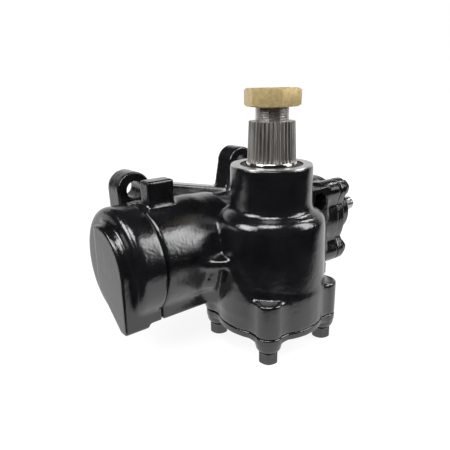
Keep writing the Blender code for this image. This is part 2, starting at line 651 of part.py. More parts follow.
def side_cover():
    """Cover under the sector, with its hub, bushing, seal, four bolts, adjuster screw and lock nut."""
    top = FLANGE_LOW_Z - GAP
    cover = prism("side_cover", lobed_round(COVER_BOLT_CIRCLE_R, LOBE_R, COVER_R), COVER_RIM_Z, top)
    soften(cover, 1.2 * MM, 1)
    for x, y in corners(COVER_BOLT_SPAN):
        add(cover, turned("bolt_boss", [
            (COVER_BOSS_Z, 0), (COVER_BOSS_Z, LOBE_R - 2.6 * MM),
            (COVER_BOSS_Z + 1.3 * MM, LOBE_R - 1.3 * MM),
            (COVER_BOSS_Z + 3.6 * MM, LOBE_R - 0.7 * MM), (COVER_RIM_Z + 2.2 * MM, LOBE_R - 0.5 * MM),
            (COVER_RIM_Z + 2.2 * MM, 0)], centre=(x, y, 0), steps=12))
    seal_r = COVER_SPIGOT_R - O_RING_DEPTH
    seal_high = COVER_SEAL_Z + COVER_SEAL_WIDE
    holder_z = SECTOR_LOW_Z - 2 * MM
    plate_z = FLANGE_LOW_Z + 6.6 * MM
    add(cover, turned("spigot", [
        (top - 2 * MM, 0), (top - 2 * MM, COVER_SPIGOT_R), (COVER_SEAL_Z, COVER_SPIGOT_R),
        (COVER_SEAL_Z, seal_r),
        (seal_high, seal_r), (seal_high, COVER_SPIGOT_R), (plate_z, COVER_SPIGOT_R),
        (plate_z, BUSHING_HOLDER_R),
        (holder_z, BUSHING_HOLDER_R), (holder_z, 0)]))
    add(cover, turned("nose", [
        (NOSE_LOW_Z, 0), (NOSE_LOW_Z, NOSE_R - 2 * MM), (NOSE_LOW_Z + 3.4 * MM, NOSE_R),
        (COVER_RIM_Z + 1.5 * MM, NOSE_R), (COVER_RIM_Z + 1.5 * MM, 0)]))
    cut(cover, turned("bore", [
        (NOSE_LOW_Z - PAST, 0), (NOSE_LOW_Z - PAST, ADJUSTER_R + GAP),
        (TRUNNION_LOW_Z - 3 * MM, ADJUSTER_R + GAP),
        (TRUNNION_LOW_Z - 3 * MM, BUSHING_R + GAP), (SECTOR_LOW_Z, BUSHING_R + GAP), (SECTOR_LOW_Z, 0)]))
    for x, y in corners(COVER_BOLT_SPAN):
        cut(cover, rod("hole", COVER_BOSS_Z - PAST, FLANGE_LOW_Z + PAST, BOLT_R + GAP, centre=(x, y, 0),
                       steps=HOLE_STEPS))
    finish(cover, "black_paint")
    finish(ring("side_cover_seal", COVER_SEAL_Z + GAP, seal_high - GAP, seal_r + GAP, COVER_SPIGOT_R),
           "rubber")
    finish(ring("side_cover_bushing", TRUNNION_LOW_Z, holder_z - STACK_GAP, TRUNNION_R + 0.2 * MM, BUSHING_R),
           "bronze")
    for index, (x, y) in enumerate(corners(COVER_BOLT_SPAN)):
        bolt(f"side_cover_bolt_{index + 1}", "Z", (x, y, 0), COVER_BOSS_Z - GAP, BOLT_TOP_Z, -1)
    head_low = TRUNNION_LOW_Z + 2.4 * MM
    screw = prism("lash_adjuster_screw", hexagon(7 * MM), 0, NOSE_LOW_Z - 0.2 * MM)
    add(screw, rod("thread", NOSE_LOW_Z - 0.6 * MM, head_low + 0.6 * MM, ADJUSTER_R, steps=16))
    add(screw, rod("head", head_low, head_low + ADJUSTER_HEAD_TALL, ADJUSTER_HEAD_R, steps=STEPS))
    finish(screw, "steel")
    nut = soften(prism("adjuster_lock_nut", hexagon(LOCK_NUT_FLATS, 30), 0.5 * MM, NOSE_LOW_Z - GAP),
                 0.4 * MM, 1)
    cut(nut, rod("hole", -PAST, NOSE_LOW_Z + PAST, ADJUSTER_R + GAP, steps=16))
    finish(nut, "black_bolt")


def sector_shaft():
    gear = prism("sector_shaft", sector_outline(), SECTOR_LOW_Z, SECTOR_HIGH_Z)
    add(gear, rod("trunnion", TRUNNION_LOW_Z, SECTOR_LOW_Z + PAST, TRUNNION_R))
    neck_r = SPLINE_LOW_R + 0.1 * MM
    upper = turned("upper", [
        (SECTOR_HIGH_Z - PAST, 0), (SECTOR_HIGH_Z - PAST, JOURNAL_R), (SPLINE_LOW_Z - 3 * MM, JOURNAL_R),
        (SPLINE_LOW_Z - 2.4 * MM, neck_r), (SPLINE_LOW_Z, neck_r), (SPLINE_LOW_Z, neck_r - 1.7 * MM),
        (SPLINE_LOW_Z + PAST, neck_r - 1.7 * MM), (SPLINE_LOW_Z + PAST, 0)], steps=32)
    add(gear, upper)
    spline = loft("spline", [
        (serrated(SPLINE_LOW_R, SPLINE_DEPTH, SPLINE_COUNT), SPLINE_LOW_Z),
        (serrated(SPLINE_TOP_R, SPLINE_DEPTH, SPLINE_COUNT), SPLINE_TOP_Z)])
    add(gear, spline)
    thread = turned("thread", [(SPLINE_TOP_Z - PAST, 0), (SPLINE_TOP_Z - PAST, THREAD_R),
                               (SHAFT_TOP_Z - PAST, THREAD_R), (SHAFT_TOP_Z, THREAD_R - PAST),
                               (SHAFT_TOP_Z, 0)])
    add(gear, thread)
    cut(gear, turned("slot", [
        (TRUNNION_LOW_Z - PAST, 0), (TRUNNION_LOW_Z - PAST, SLOT_R), (TRUNNION_LOW_Z + SLOT_DEEP, SLOT_R),
        (TRUNNION_LOW_Z + SLOT_DEEP, 0)]))
    finish(gear, "steel")
    nut_top = NUT_LOW_Z + NUT_TALL
    crown_r = NUT_FLATS * 0.48
    crown_out = NUT_FLATS * 0.6
    crown_deep = NUT_TALL * 0.14
    nut = prism("pitman_nut", hexagon(NUT_FLATS, 4.5), NUT_LOW_Z, nut_top)
    crown = turned("crown", [
        (NUT_LOW_Z - PAST, 0), (NUT_LOW_Z - PAST, crown_r), (NUT_LOW_Z + crown_deep, crown_out),
        (nut_top - crown_deep, crown_out), (nut_top + PAST, crown_r), (nut_top + PAST, 0)])
    combine(nut, crown, "INTERSECT")
    cut(nut, rod("hole", NUT_LOW_Z - 2 * PAST, nut_top + 2 * PAST, THREAD_R + GAP, steps=24))
    finish(nut, "zinc_yellow")


def sector_bearings():
    """Needle bearing, drawn as a plain sleeve, seal, washer, retaining ring and dust seal in the tower."""
    shaft_r = JOURNAL_R + GAP
    finish(ring("sector_needle_bearing", BEARING_LOW_Z, SEAL_BORE_LOW_Z - 2 * GAP, shaft_r,
                BEARING_BORE_R - GAP),
           "steel")
    top = DUST_SEAL_TOP_Z
    for name, tall, inner_r, look in (
        ("sector_dust_seal", DUST_SEAL_TALL, shaft_r, "rubber"),
        ("seal_retaining_ring", SNAP_RING_TALL, JOURNAL_R + 1 * MM, "steel"),
        ("seal_backup_washer", WASHER_TALL, shaft_r, "steel"),
        ("sector_shaft_seal", SHAFT_SEAL_TALL, shaft_r, "rubber"),
    ):
        finish(ring(name, top - tall, top, inner_r, SEAL_BORE_R - GAP), look)
        top -= tall + STACK_GAP


def rack_piston():
    """The rack piston: head, ball nut, four rack teeth and the blind ball bore."""
    ring_high = PISTON_RING_X + PISTON_RING_WIDE
    ring_r = PISTON_R - PISTON_RING_DEPTH
    body = turned("rack_piston", [
        (HEAD_LOW_X, 0), (HEAD_LOW_X, PISTON_R - PAST), (HEAD_LOW_X + PAST, PISTON_R),
        (PISTON_RING_X, PISTON_R),
        (PISTON_RING_X, ring_r), (ring_high, ring_r), (ring_high, PISTON_R), (HEAD_HIGH_X, PISTON_R),
        (HEAD_HIGH_X + 2 * PAST, NUT_R), (RACK_END_X, NUT_R), (RACK_END_X, 0),
    ], X_AXIS, RACK_CENTRE, OUTSIDE_STEPS)
    root_y = PITCH_R + DEDENDUM
    tip_y = PITCH_R - ADDENDUM
    slope = math.tan(PRESSURE_ANGLE)
    half = PITCH_LENGTH / 4 - BACKLASH / 2
    foot = half + DEDENDUM * slope
    tip = half - ADDENDUM * slope
    relief_low = HEAD_HIGH_X + 2.5 * PAST
    relief_high = RACK_END_X + 5 * PAST
    front = RACK_Y - BARREL_R
    outline = [(relief_low, root_y), (relief_low, front), (relief_high, front), (relief_high, root_y)]
    for index in (1.5, 0.5, -0.5, -1.5):
        middle = index * PITCH_LENGTH
        outline += [(middle + foot, root_y), (middle + tip, tip_y), (middle - tip, tip_y),
                    (middle - foot, root_y)]
    cut(body, prism("tooth_spaces", outline, RACK_Z - BARREL_R, RACK_Z + BARREL_R))
    cut(body, rod("bore", NUT_BOTTOM_X, RACK_END_X + PAST, NUT_INNER_R, X_AXIS, RACK_CENTRE, 24))
    cut(body, rod("plug_hole", HEAD_LOW_X - PAST, NUT_BOTTOM_X + PAST, END_PLUG_R + GAP, X_AXIS,
                  RACK_CENTRE, STEPS))
    cut(body, helix_tube("track", BALL_CIRCLE_R, TRACK_R, BALLS_LOW_X, BALLS_HIGH_X))
    finish(body, "steel")
    finish(ring("piston_seal_ring", PISTON_RING_X + GAP, ring_high - GAP, ring_r + GAP, CYLINDER_R - 0.2 * MM,
                X_AXIS, RACK_CENTRE, OUTSIDE_STEPS), "rubber")
    plug_low = HEAD_LOW_X + PAST / 2
    plug = rod("rack_end_plug", plug_low, plug_low + END_PLUG_LENGTH, END_PLUG_R, X_AXIS, RACK_CENTRE, STEPS)
    cut(plug, prism("socket", hexagon(8 * MM, 0, (RACK_Y, RACK_Z)), HEAD_LOW_X - PAST, plug_low + 4.5 * MM,
                    "X"))
    finish(plug, "steel")


def ball_train():
    """The balls in the loaded track, drawn as one string of beads that touch."""
    clear = 2 * MM
    train = helix_tube("ball_train", BALL_CIRCLE_R, BALL_R, BALLS_LOW_X + clear, BALLS_HIGH_X - clear,
                       beads=True)
    finish(train, "steel")


def worm():
    """Worm shaft with its ball track, support bearing, valve body, rings and drive pin."""
    journal_x = WORM_FLANGE_X + WORM_FLANGE_WIDE
    shaft = turned("worm_shaft", [
        (WORM_LOW_X, 0), (WORM_LOW_X, WORM_R - PAST), (WORM_LOW_X + PAST, WORM_R),
        (WORM_FLANGE_X - 3 * MM, WORM_R),
        (WORM_FLANGE_X, WORM_FLANGE_R), (journal_x, WORM_FLANGE_R), (journal_x, WORM_JOURNAL_R),
        (VALVE_LOW_X - GAP, WORM_JOURNAL_R), (VALVE_LOW_X - GAP, 0),
    ], X_AXIS, RACK_CENTRE, 24)
    turns = math.ceil((BALLS_LOW_X - TRACK_LOW_X) / LEAD)
    start = BALLS_LOW_X - turns * LEAD
    cut(shaft, helix_tube("track", BALL_CIRCLE_R, TRACK_R, start, start + TRACK_TURNS * LEAD))
    cut(shaft, rod("bore", TORSION_LOW_X - 2 * MM, VALVE_LOW_X + PAST, TORSION_BORE_R, X_AXIS, RACK_CENTRE,
                   16))
    pin_centre = (0, RACK_Y, RACK_Z + DRIVE_PIN_OFFSET)
    pin_half = 3.6 * MM
    cut(shaft, rod("hole", VALVE_LOW_X - pin_half - GAP, VALVE_LOW_X + PAST, PIN_R + GAP, X_AXIS, pin_centre,
                   HOLE_STEPS))
    finish(shaft, "steel")
    finish(ring("worm_bearing", journal_x + GAP, VALVE_LOW_X - 2 * GAP, WORM_JOURNAL_R + GAP, WORM_BEARING_R,
                X_AXIS, RACK_CENTRE), "steel")
    groove_r = VALVE_BODY_R - VALVE_RING_DEPTH
    inner_r = SPOOL_R + 0.2 * MM
    profile = [(VALVE_LOW_X, inner_r), (VALVE_LOW_X, VALVE_BODY_R)]
    for index in range(4):
        low = VALVE_LOW_X + VALVE_RING_WIDE + index * VALVE_RING_PITCH
        high = low + VALVE_RING_WIDE
        profile += [(low, VALVE_BODY_R), (low, groove_r), (high, groove_r), (high, VALVE_BODY_R)]
        finish(ring(f"valve_body_ring_{index + 1}", low + GAP, high - GAP, groove_r + GAP,
                    VALVE_BODY_R + 0.1 * MM,
                    X_AXIS, RACK_CENTRE, 18), "bronze")
    profile += [(VALVE_HIGH_X, VALVE_BODY_R), (VALVE_HIGH_X, inner_r)]
    body = turned("valve_body", profile, X_AXIS, RACK_CENTRE, 18)
    cut(body, rod("hole", VALVE_LOW_X - PAST, VALVE_LOW_X + pin_half + GAP, PIN_R + GAP, X_AXIS, pin_centre,
                  HOLE_STEPS))
    finish(body, "steel")
    finish(rod("valve_drive_pin", VALVE_LOW_X - pin_half, VALVE_LOW_X + pin_half, PIN_R, X_AXIS, pin_centre,
               HOLE_STEPS), "steel")


def input_shaft():
    """Stub shaft with the valve's spool, its torsion bar and the pin that joins them."""
    low = VALVE_LOW_X + 0.4 * MM
    stub = turned("input_shaft", [
        (low, 0), (low, SPOOL_R), (INPUT_NECK_X - 2 * MM, SPOOL_R), (INPUT_NECK_X, INPUT_TIP_R),
        (INPUT_TIP_X - PAST, INPUT_TIP_R), (INPUT_TIP_X, INPUT_TIP_R - PAST), (INPUT_TIP_X, 0)],
        X_AXIS, RACK_CENTRE, 24)
    for index in range(SPOOL_SLOTS):
        turn = 2 * math.pi * index / SPOOL_SLOTS
        middle = RACK_CENTRE + Vector((0, math.cos(turn), math.sin(turn))) * (SPOOL_R + 0.9 * MM)
        cut(stub, rod("slot", VALVE_LOW_X + 3.6 * MM, VALVE_HIGH_X - 4.6 * MM, 1.8 * MM, X_AXIS, middle, 8))
    cut(stub, rod("bore", VALVE_LOW_X - PAST, TORSION_HIGH_X + PAST, TORSION_BORE_R, X_AXIS, RACK_CENTRE, 16))
    side = 10 * MM
    flat_x = PIN_X + 3.5 * MM
    flat_z = RACK_Z + INPUT_TIP_R - 1.5 * MM
    cut(stub, box("flat", (flat_x, RACK_Y - side, flat_z), (flat_x + side, RACK_Y + side, flat_z + side)))
    pin_centre = (PIN_X, RACK_Y, RACK_Z)
    reach = SPOOL_R + PAST
    cut(stub, rod("pin_hole", -reach, reach, PIN_R + GAP, Y_AXIS, pin_centre, HOLE_STEPS))
    finish(stub, "steel")
    bar = turned("torsion_bar", [
        (TORSION_LOW_X, 0), (TORSION_LOW_X, TORSION_R), (TORSION_LOW_X + 16 * MM, TORSION_R),
        (TORSION_LOW_X + 22 * MM, TORSION_WAIST_R), (TORSION_HIGH_X - 19 * MM, TORSION_WAIST_R),
        (TORSION_HIGH_X - 14 * MM, TORSION_R), (TORSION_HIGH_X, TORSION_R), (TORSION_HIGH_X, 0)],
        X_AXIS, RACK_CENTRE, 16)
    cut(bar, rod("pin_hole", -reach, reach, PIN_R + GAP, Y_AXIS, pin_centre, HOLE_STEPS))
    finish(bar, "steel")
    pin_half = INPUT_TIP_R - GAP
    finish(rod("torsion_bar_pin", -pin_half, pin_half, PIN_R, Y_AXIS, pin_centre, HOLE_STEPS), "steel")


def valve_housing():
    low = FLANGE_X + GAP
    outline = lobed_round(VALVE_BOLT_CIRCLE_R, LOBE_R, VALVE_FLANGE_R, (RACK_Y, RACK_Z))
    body = prism("valve_housing", outline, low, VALVE_FLANGE_X, "X")
    soften(body, 1.2 * MM, 1)
    seal_low = low - 6 * MM
    seal_high = seal_low + 3 * MM
    seal_r = SPIGOT_R - O_RING_DEPTH
    add(body, turned("hub", [
        (low - SPIGOT_LENGTH, 0), (low - SPIGOT_LENGTH, SPIGOT_R), (seal_low, SPIGOT_R), (seal_low, seal_r),
        (seal_high, seal_r), (seal_high, SPIGOT_R), (low + 2 * MM, SPIGOT_R), (low + 2 * MM, HUB_ROOT_R),
        (VALVE_FLANGE_X + 3 * MM, HUB_ROOT_R), (VALVE_FLANGE_X + 8 * MM, HUB_R),
        (HUB_END_X - 1.5 * MM, HUB_R),
        (HUB_END_X, HUB_R - 1.5 * MM), (HUB_END_X, 0)], X_AXIS, RACK_CENTRE, 24))
    bearing_x = VALVE_LOW_X - GAP
    valve_x = VALVE_HIGH_X + 0.5 * MM
    cut(body, turned("bore", [
        (low - SPIGOT_LENGTH - PAST, 0), (low - SPIGOT_LENGTH - PAST, WORM_BEARING_R + GAP),
        (bearing_x, WORM_BEARING_R + GAP), (bearing_x, VALVE_BODY_R + GAP), (valve_x, VALVE_BODY_R + GAP),
        (valve_x, HUB_BORE_R), (HUB_END_X + PAST, HUB_BORE_R), (HUB_END_X + PAST, 0)], X_AXIS, RACK_CENTRE))
    for y, z in corners(VALVE_BOLT_SPAN):
        cut(body, rod("hole", low - PAST, VALVE_FLANGE_X + PAST, BOLT_R + GAP, X_AXIS,
                      (0, RACK_Y + y, RACK_Z + z), HOLE_STEPS))
    finish(body, "black_paint")
    finish(ring("valve_housing_seal", seal_low + GAP, seal_high - GAP, seal_r + GAP, SPIGOT_R, X_AXIS,
                RACK_CENTRE),
           "rubber")
    for index, (y, z) in enumerate(corners(VALVE_BOLT_SPAN)):
        bolt(f"valve_housing_bolt_{index + 1}", "X", (0, RACK_Y + y, RACK_Z + z), VALVE_FLANGE_X + GAP,
             FLANGE_X - END_FLANGE_LENGTH + 5 * MM, 1)
    outer_r = HUB_BORE_R - GAP
    start = VALVE_HIGH_X + 0.9 * MM
    for name, wide, inner_r, look in (
        ("input_needle_bearing", 5.0 * MM, SPOOL_R + 0.1 * MM, "steel"),
        ("input_shaft_seal", 4.0 * MM, SPOOL_R + 0.2 * MM, "rubber"),
        ("input_seal_retaining_ring", 1.2 * MM, SPOOL_R + 1 * MM, "steel"),
    ):
        finish(ring(name, start, start + wide, inner_r, outer_r, X_AXIS, RACK_CENTRE, 24), look)
        start += wide + STACK_GAP


def ports_and_plug():
    seat_r = PORT_R - GAP
    seat_end = PORT_FACE_Y + PORT_DEEP - GAP
    for name, z in (("pressure_port_seat", PRESSURE_PORT_Z), ("return_port_seat", RETURN_PORT_Z)):
        finish(turned(name, [
            (seat_end - 4.7 * MM, 2.5 * MM), (seat_end - 4.7 * MM, 4 * MM), (seat_end - 2.7 * MM, seat_r),
            (seat_end, seat_r), (seat_end, 2.5 * MM)], Y_AXIS, (PORT_X, 0, z), 16), "bronze")
    seat = PLUG_SEAT_Z - GAP
    finish(turned("passage_plug", [
        (PLUG_LOW_Z, 0), (PLUG_LOW_Z, PLUG_R - 0.8 * MM), (PLUG_LOW_Z + 0.8 * MM, PLUG_R), (seat, PLUG_R),
        (seat, PLUG_SHANK_R), (PLUG_TIP_Z, PLUG_SHANK_R), (PLUG_TIP_Z, 0)],
        centre=(PLUG_X, PLUG_Y, 0), steps=12), "black_bolt")


clear_scene()
gear_housing()
end_cap()
side_cover()
sector_shaft()
sector_bearings()
rack_piston()
ball_train()
worm()
input_shaft()
valve_housing()
ports_and_plug()
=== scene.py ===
"""Looks of the steering gearbox: glossy painted castings, machined shaft, zinc-plated nut, camera and light."""
import json
import math

import bmesh
import bpy
import numpy as np
from mathutils import Matrix, Vector, noise


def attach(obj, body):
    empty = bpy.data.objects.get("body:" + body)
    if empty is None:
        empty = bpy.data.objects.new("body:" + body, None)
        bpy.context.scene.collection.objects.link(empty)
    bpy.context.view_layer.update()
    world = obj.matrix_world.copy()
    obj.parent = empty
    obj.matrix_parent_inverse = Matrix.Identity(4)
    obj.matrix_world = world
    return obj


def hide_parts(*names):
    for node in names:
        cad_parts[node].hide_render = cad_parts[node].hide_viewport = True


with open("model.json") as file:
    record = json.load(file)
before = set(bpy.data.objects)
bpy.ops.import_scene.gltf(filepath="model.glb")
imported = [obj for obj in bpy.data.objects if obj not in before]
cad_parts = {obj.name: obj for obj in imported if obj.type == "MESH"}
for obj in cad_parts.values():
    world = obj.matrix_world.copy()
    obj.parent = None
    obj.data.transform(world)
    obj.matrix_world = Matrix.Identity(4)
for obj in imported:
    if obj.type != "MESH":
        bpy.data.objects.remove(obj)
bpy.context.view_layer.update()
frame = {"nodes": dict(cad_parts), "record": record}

MM = 0.001
ROUND = 112
RELAX_SHARE = 0.6
X_AXIS = Vector((1, 0, 0))
Y_AXIS = Vector((0, 1, 0))
Z_AXIS = Vector((0, 0, 1))

# Sizes shared with the solids
RACK_Y = 47.5 * MM
RACK_Z = 66.3 * MM
RACK_CENTRE = Vector((0, RACK_Y, RACK_Z))
BARREL_R = 39.0 * MM
NECK_R = 34.5 * MM
TOWER_BORE_R = 21.4 * MM
CAP_SEAM_X = -80.8 * MM
PAD_FACE_X = -108.4 * MM
CYLINDER_R = 34.2 * MM
CYLINDER_END_X = -90.0 * MM
CYLINDER_STEP_X = -22.0 * MM
NUT_BORE_R = 31.0 * MM
NUT_BORE_END_X = 75.5 * MM
TOWER_R = 28.3 * MM
TOWER_TOP_Z = 129.3 * MM
SHOULDER_Z = 97.7 * MM
DRUM_TOP_R = 38.0 * MM
DRUM_LOW_R = 39.2 * MM
FLANGE_R = 39.6 * MM
COVER_R = 39.3 * MM
CHAMBER_R = 32.2 * MM
FLANGE_LOW_Z = 20.4 * MM
FLANGE_TOP_Z = 44.5 * MM
COVER_RIM_Z = 15.3 * MM
COVER_BOSS_Z = 8.9 * MM
BOLT_REACH = 38.2 * MM
BOLT_SPAN = BOLT_REACH / math.sqrt(2)
LOBE_R = 9.5 * MM
FLANGE_X = 93.0 * MM
VALVE_FLANGE_X = 101.6 * MM
HUB_END_X = 125.0 * MM
HUB_R = 22.7 * MM
SPIGOT_R = 24.0 * MM
PAD_FRONT_Y = 18.3 * MM
PAD_BACK_Y = 55.5 * MM
PAD_R = 29.2 * MM
FOOT_LOW_Z = 27.6 * MM
FOOT_END_X = -91.0 * MM
RIB_LOW_Z = 31.0 * MM
EAR_FRONT_Y = 70.0 * MM
EAR_BACK_Y = 88.0 * MM
EAR_R = 13.0 * MM
EAR_HOLE_R = 6.5 * MM
EARS = ((-68.0 * MM, 109.6 * MM), (34.0 * MM, 117.8 * MM), (30.0 * MM, 13.6 * MM))
PORT_X = 66.0 * MM
PORT_FACE_Y = 11.5 * MM
PORT_HIGH_Z = 88.0 * MM
PORT_LOW_Z = 2 * RACK_Z - PORT_HIGH_Z
PORT_R = 8.0 * MM
SPLINE_LOW_Z = 130.4 * MM
SPLINE_TOP_Z = 157.8 * MM
SPLINE_LOW_R = 16.6 * MM
SPLINE_TOP_R = 15.5 * MM
SPLINE_COUNT = 36
THREAD_R = 11.1 * MM
NUT_LOW_Z = 167.3 * MM
NUT_TALL = 11.6 * MM
NUT_FLATS = 33.3 * MM
SHAFT_TOP_Z = 177.5 * MM

# Sizes of the looks alone: fine forms, the clearance of cut holes, the gap at a joint of two castings,
# how far a cutter runs past a face, and how far a fine skin stands proud of its solid
CAP_RIM_X = -101.2 * MM
BOLT_HOLE_R = 4.3 * MM
PLUG_HOLE_R = 4.3 * MM
HEAD_FLATS = 12.5 * MM
HEAD_TALL = 8.6 * MM
VALVE_HEAD_TALL = 6.0 * MM
WASHER_R = 6.7 * MM
SPLINE_DEPTH = 0.9 * MM
THREAD_PITCH = 1.5 * MM
THREAD_DEPTH = 0.8 * MM
SEAM = 0.3 * MM
PAST = 5 * MM
PROUD = 0.04 * MM


# Mesh tools

def new_object(name, bm):
    bmesh.ops.remove_doubles(bm, verts=bm.verts, dist=0.000002)
    bmesh.ops.recalc_face_normals(bm, faces=bm.faces)
    mesh = bpy.data.meshes.new(name)
    bm.to_mesh(mesh)
    bm.free()
    made = bpy.data.objects.new(name, mesh)
    bpy.context.scene.collection.objects.link(made)
    return made


def applied(made):
    """Applies an object's modifiers."""
    bpy.context.view_layer.update()
    evaluated = made.evaluated_get(bpy.context.evaluated_depsgraph_get())
    mesh = bpy.data.meshes.new_from_object(evaluated)
    made.modifiers.clear()
    old = made.data
    made.data = mesh
    bpy.data.meshes.remove(old)
    return made


def turned(profile, axis=Z_AXIS, centre=(0, 0, 0), steps=ROUND, name="turned"):
    """Turns a profile of (along, radius) points about an axis."""
    bm = bmesh.new()
    points = [bm.verts.new((radius, 0, along)) for along, radius in profile]
    edges = [bm.edges.new(pair) for pair in zip(points, points[1:])]
    if profile[0][1] > 0:
        edges.append(bm.edges.new((points[-1], points[0])))
    bmesh.ops.spin(bm, geom=points + edges, cent=(0, 0, 0), axis=(0, 0, 1), angle=2 * math.pi, steps=steps)
    bm.transform(Matrix.Translation(Vector(centre)) @ Z_AXIS.rotation_difference(axis).to_matrix().to_4x4())
    return new_object(name, bm)


def rod(low, high, radius, axis=Z_AXIS, centre=(0, 0, 0), steps=48):
    return turned([(low, 0), (low, radius), (high, radius), (high, 0)], axis, centre, steps)


PLACE = {
    "Z": lambda u, v, w: (u, v, w),
    "X": lambda u, v, w: (w, u, v),
    "Y": lambda u, v, w: (u, w, v),
}


def loft(rings, axis="Z", name="loft"):
    """Skins a row of (outline, height) with equal counts and caps both ends."""
    bm = bmesh.new()
    loops = [[bm.verts.new(PLACE[axis](u, v, height)) for u, v in outline] for outline, height in rings]
    for low, high in zip(loops, loops[1:]):
        for index in range(len(low)):
            following = (index + 1) % len(low)
            bm.faces.new((low[index], low[following], high[following], high[index]))
    bm.faces.new(loops[0])
    bm.faces.new(loops[-1])
    return new_object(name, bm)


def prism(outline, low, high, axis="Z"):
    return loft([(outline, low), (outline, high)], axis)


def box(low, high):
    return prism([(low[0], low[1]), (high[0], low[1]), (high[0], high[1]), (low[0], high[1])], low[2], high[2])


def arc(centre, radius, start, end, steps):
    turns = [math.radians(start + (end - start) * step / steps) for step in range(steps + 1)]
    return [(centre[0] + radius * math.cos(turn), centre[1] + radius * math.sin(turn)) for turn in turns]


def lobed_round(lobe_r, body_r, centre=(0, 0)):
    """Outline of a round flange with four round lobes."""
    meet = math.degrees(math.acos((BOLT_REACH ** 2 + body_r ** 2 - lobe_r ** 2) / (2 * BOLT_REACH * body_r)))
    outline = []
    for middle in (45, 135, 225, 315):
        turn = math.radians(middle)
        lobe = (centre[0] + BOLT_REACH * math.cos(turn), centre[1] + BOLT_REACH * math.sin(turn))
        outline += arc(lobe, lobe_r, middle - 70, middle + 70, 16)
        outline += arc(centre, body_r, middle + meet + 6, middle + 84 - meet, 14)
    return outline


def corners(span):
    return [(sx * span, sy * span) for sx in (-1, 1) for sy in (-1, 1)]


def voxel_union(name, parts, voxel):
    """Joins overlapping solids into one skin of even small faces."""
    bm = bmesh.new()
    for part in parts:
        bm.from_mesh(part.data)
        bpy.data.objects.remove(part, do_unlink=True)
    mesh = bpy.data.meshes.new(name)
    bm.to_mesh(mesh)
    bm.free()
    made = bpy.data.objects.new(name, mesh)
    bpy.context.scene.collection.objects.link(made)
    modifier = made.modifiers.new("skin", "REMESH")
    modifier.mode = "VOXEL"
    modifier.voxel_size = voxel
    return applied(made)


def coordinates(mesh):
    values = np.empty(len(mesh.vertices) * 3, np.float32)
    mesh.vertices.foreach_get("co", values)
    return values.reshape(-1, 3).astype(np.float64)


def write_coordinates(mesh, values):
    mesh.vertices.foreach_set("co", values.astype(np.float32).ravel())
    mesh.update()


def normals_of(mesh):
    values = np.empty(len(mesh.vertices) * 3, np.float32)
    mesh.vertex_normals.foreach_get("vector", values)
    return values.reshape(-1, 3).astype(np.float64)


def relax(made, rounds, hollows_only=False):
    """Smooths a skin. With hollows_only it fills inner corners, as cast fillets do, and leaves outer edges."""
    mesh = made.data
    edges = np.empty(len(mesh.edges) * 2, np.int64)
    mesh.edges.foreach_get("vertices", edges)
    edges = edges.reshape(-1, 2)
    ends = np.concatenate([edges[:, 0], edges[:, 1]])
    others = np.concatenate([edges[:, 1], edges[:, 0]])
    count = len(mesh.vertices)
    degree = np.maximum(np.bincount(ends, minlength=count), 1)
    place = coordinates(mesh)
    for _ in range(rounds):
        mean = np.stack([np.bincount(ends, weights=place[others, k], minlength=count) for k in range(3)], 1)
        step = mean / degree[:, None] - place
        if hollows_only:
            write_coordinates(mesh, place)
            normal = normals_of(mesh)
            push = np.clip((step * normal).sum(1), 0, None)
            step = normal * push[:, None]
        place = place + step * RELAX_SHARE
    write_coordinates(mesh, place)


def roughen(made, height, scale, seed):
    """Gives a cast skin its uneven surface: soft bumps of a stated height along the normals."""
    mesh = made.data
    place = coordinates(mesh)
    normal = normals_of(mesh)
    shift = Vector((seed * 1.7, seed * 0.9, seed * 2.3))
    lift = np.array([noise.fractal(Vector(point) * scale + shift, 0.7, 2.2, 3) for point in place])
    write_coordinates(mesh, place + normal * (lift * height)[:, None])


def boolean(made, other, operation, solver="EXACT"):
    modifier = made.modifiers.new("shape", "BOOLEAN")
    modifier.operation = operation
    modifier.solver = solver
    modifier.object = other
    applied(made)
    bpy.data.objects.remove(other, do_unlink=True)


def subtract(made, cutters):
    """Cuts bores and holes out of a skin."""
    for cutter in cutters:
        boolean(made, cutter, "DIFFERENCE", "MANIFOLD")


def shade(made, angle=40):
    made.data.shade_smooth()
    made.data.set_sharp_from_angle(angle=math.radians(angle))
    return made


def dress(made, body, material, slot, *nodes):
    """Puts a finished piece on its body in place of CAD nodes."""
    made.data.materials.clear()
    made.data.materials.append(material)
    if nodes:
        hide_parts(*nodes)
    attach(made, body)


# Materials

def new_material(name, colour, roughness, metallic=0.0):
    material = bpy.data.materials.new(name)
    material.use_nodes = True
    shader = material.node_tree.nodes["Principled BSDF"]
    shader.inputs["Base Color"].default_value = (*colour, 1)
    shader.inputs["Roughness"].default_value = roughness
    shader.inputs["Metallic"].default_value = metallic
    return material, material.node_tree, shader


def add_noise(tree, scale, detail=4.0, stretch=(1, 1, 1), roughness=0.55):
    """Noise in the object's own coordinates."""
    place = tree.nodes.new("ShaderNodeTexCoord")
    mapping = tree.nodes.new("ShaderNodeMapping")
    mapping.inputs["Scale"].default_value = stretch
    texture = tree.nodes.new("ShaderNodeTexNoise")
    texture.inputs["Scale"].default_value = scale
    texture.inputs["Detail"].default_value = detail
    texture.inputs["Roughness"].default_value = roughness
    tree.links.new(place.outputs["Object"], mapping.inputs["Vector"])
    tree.links.new(mapping.outputs["Vector"], texture.inputs["Vector"])
    return texture.outputs["Fac"]


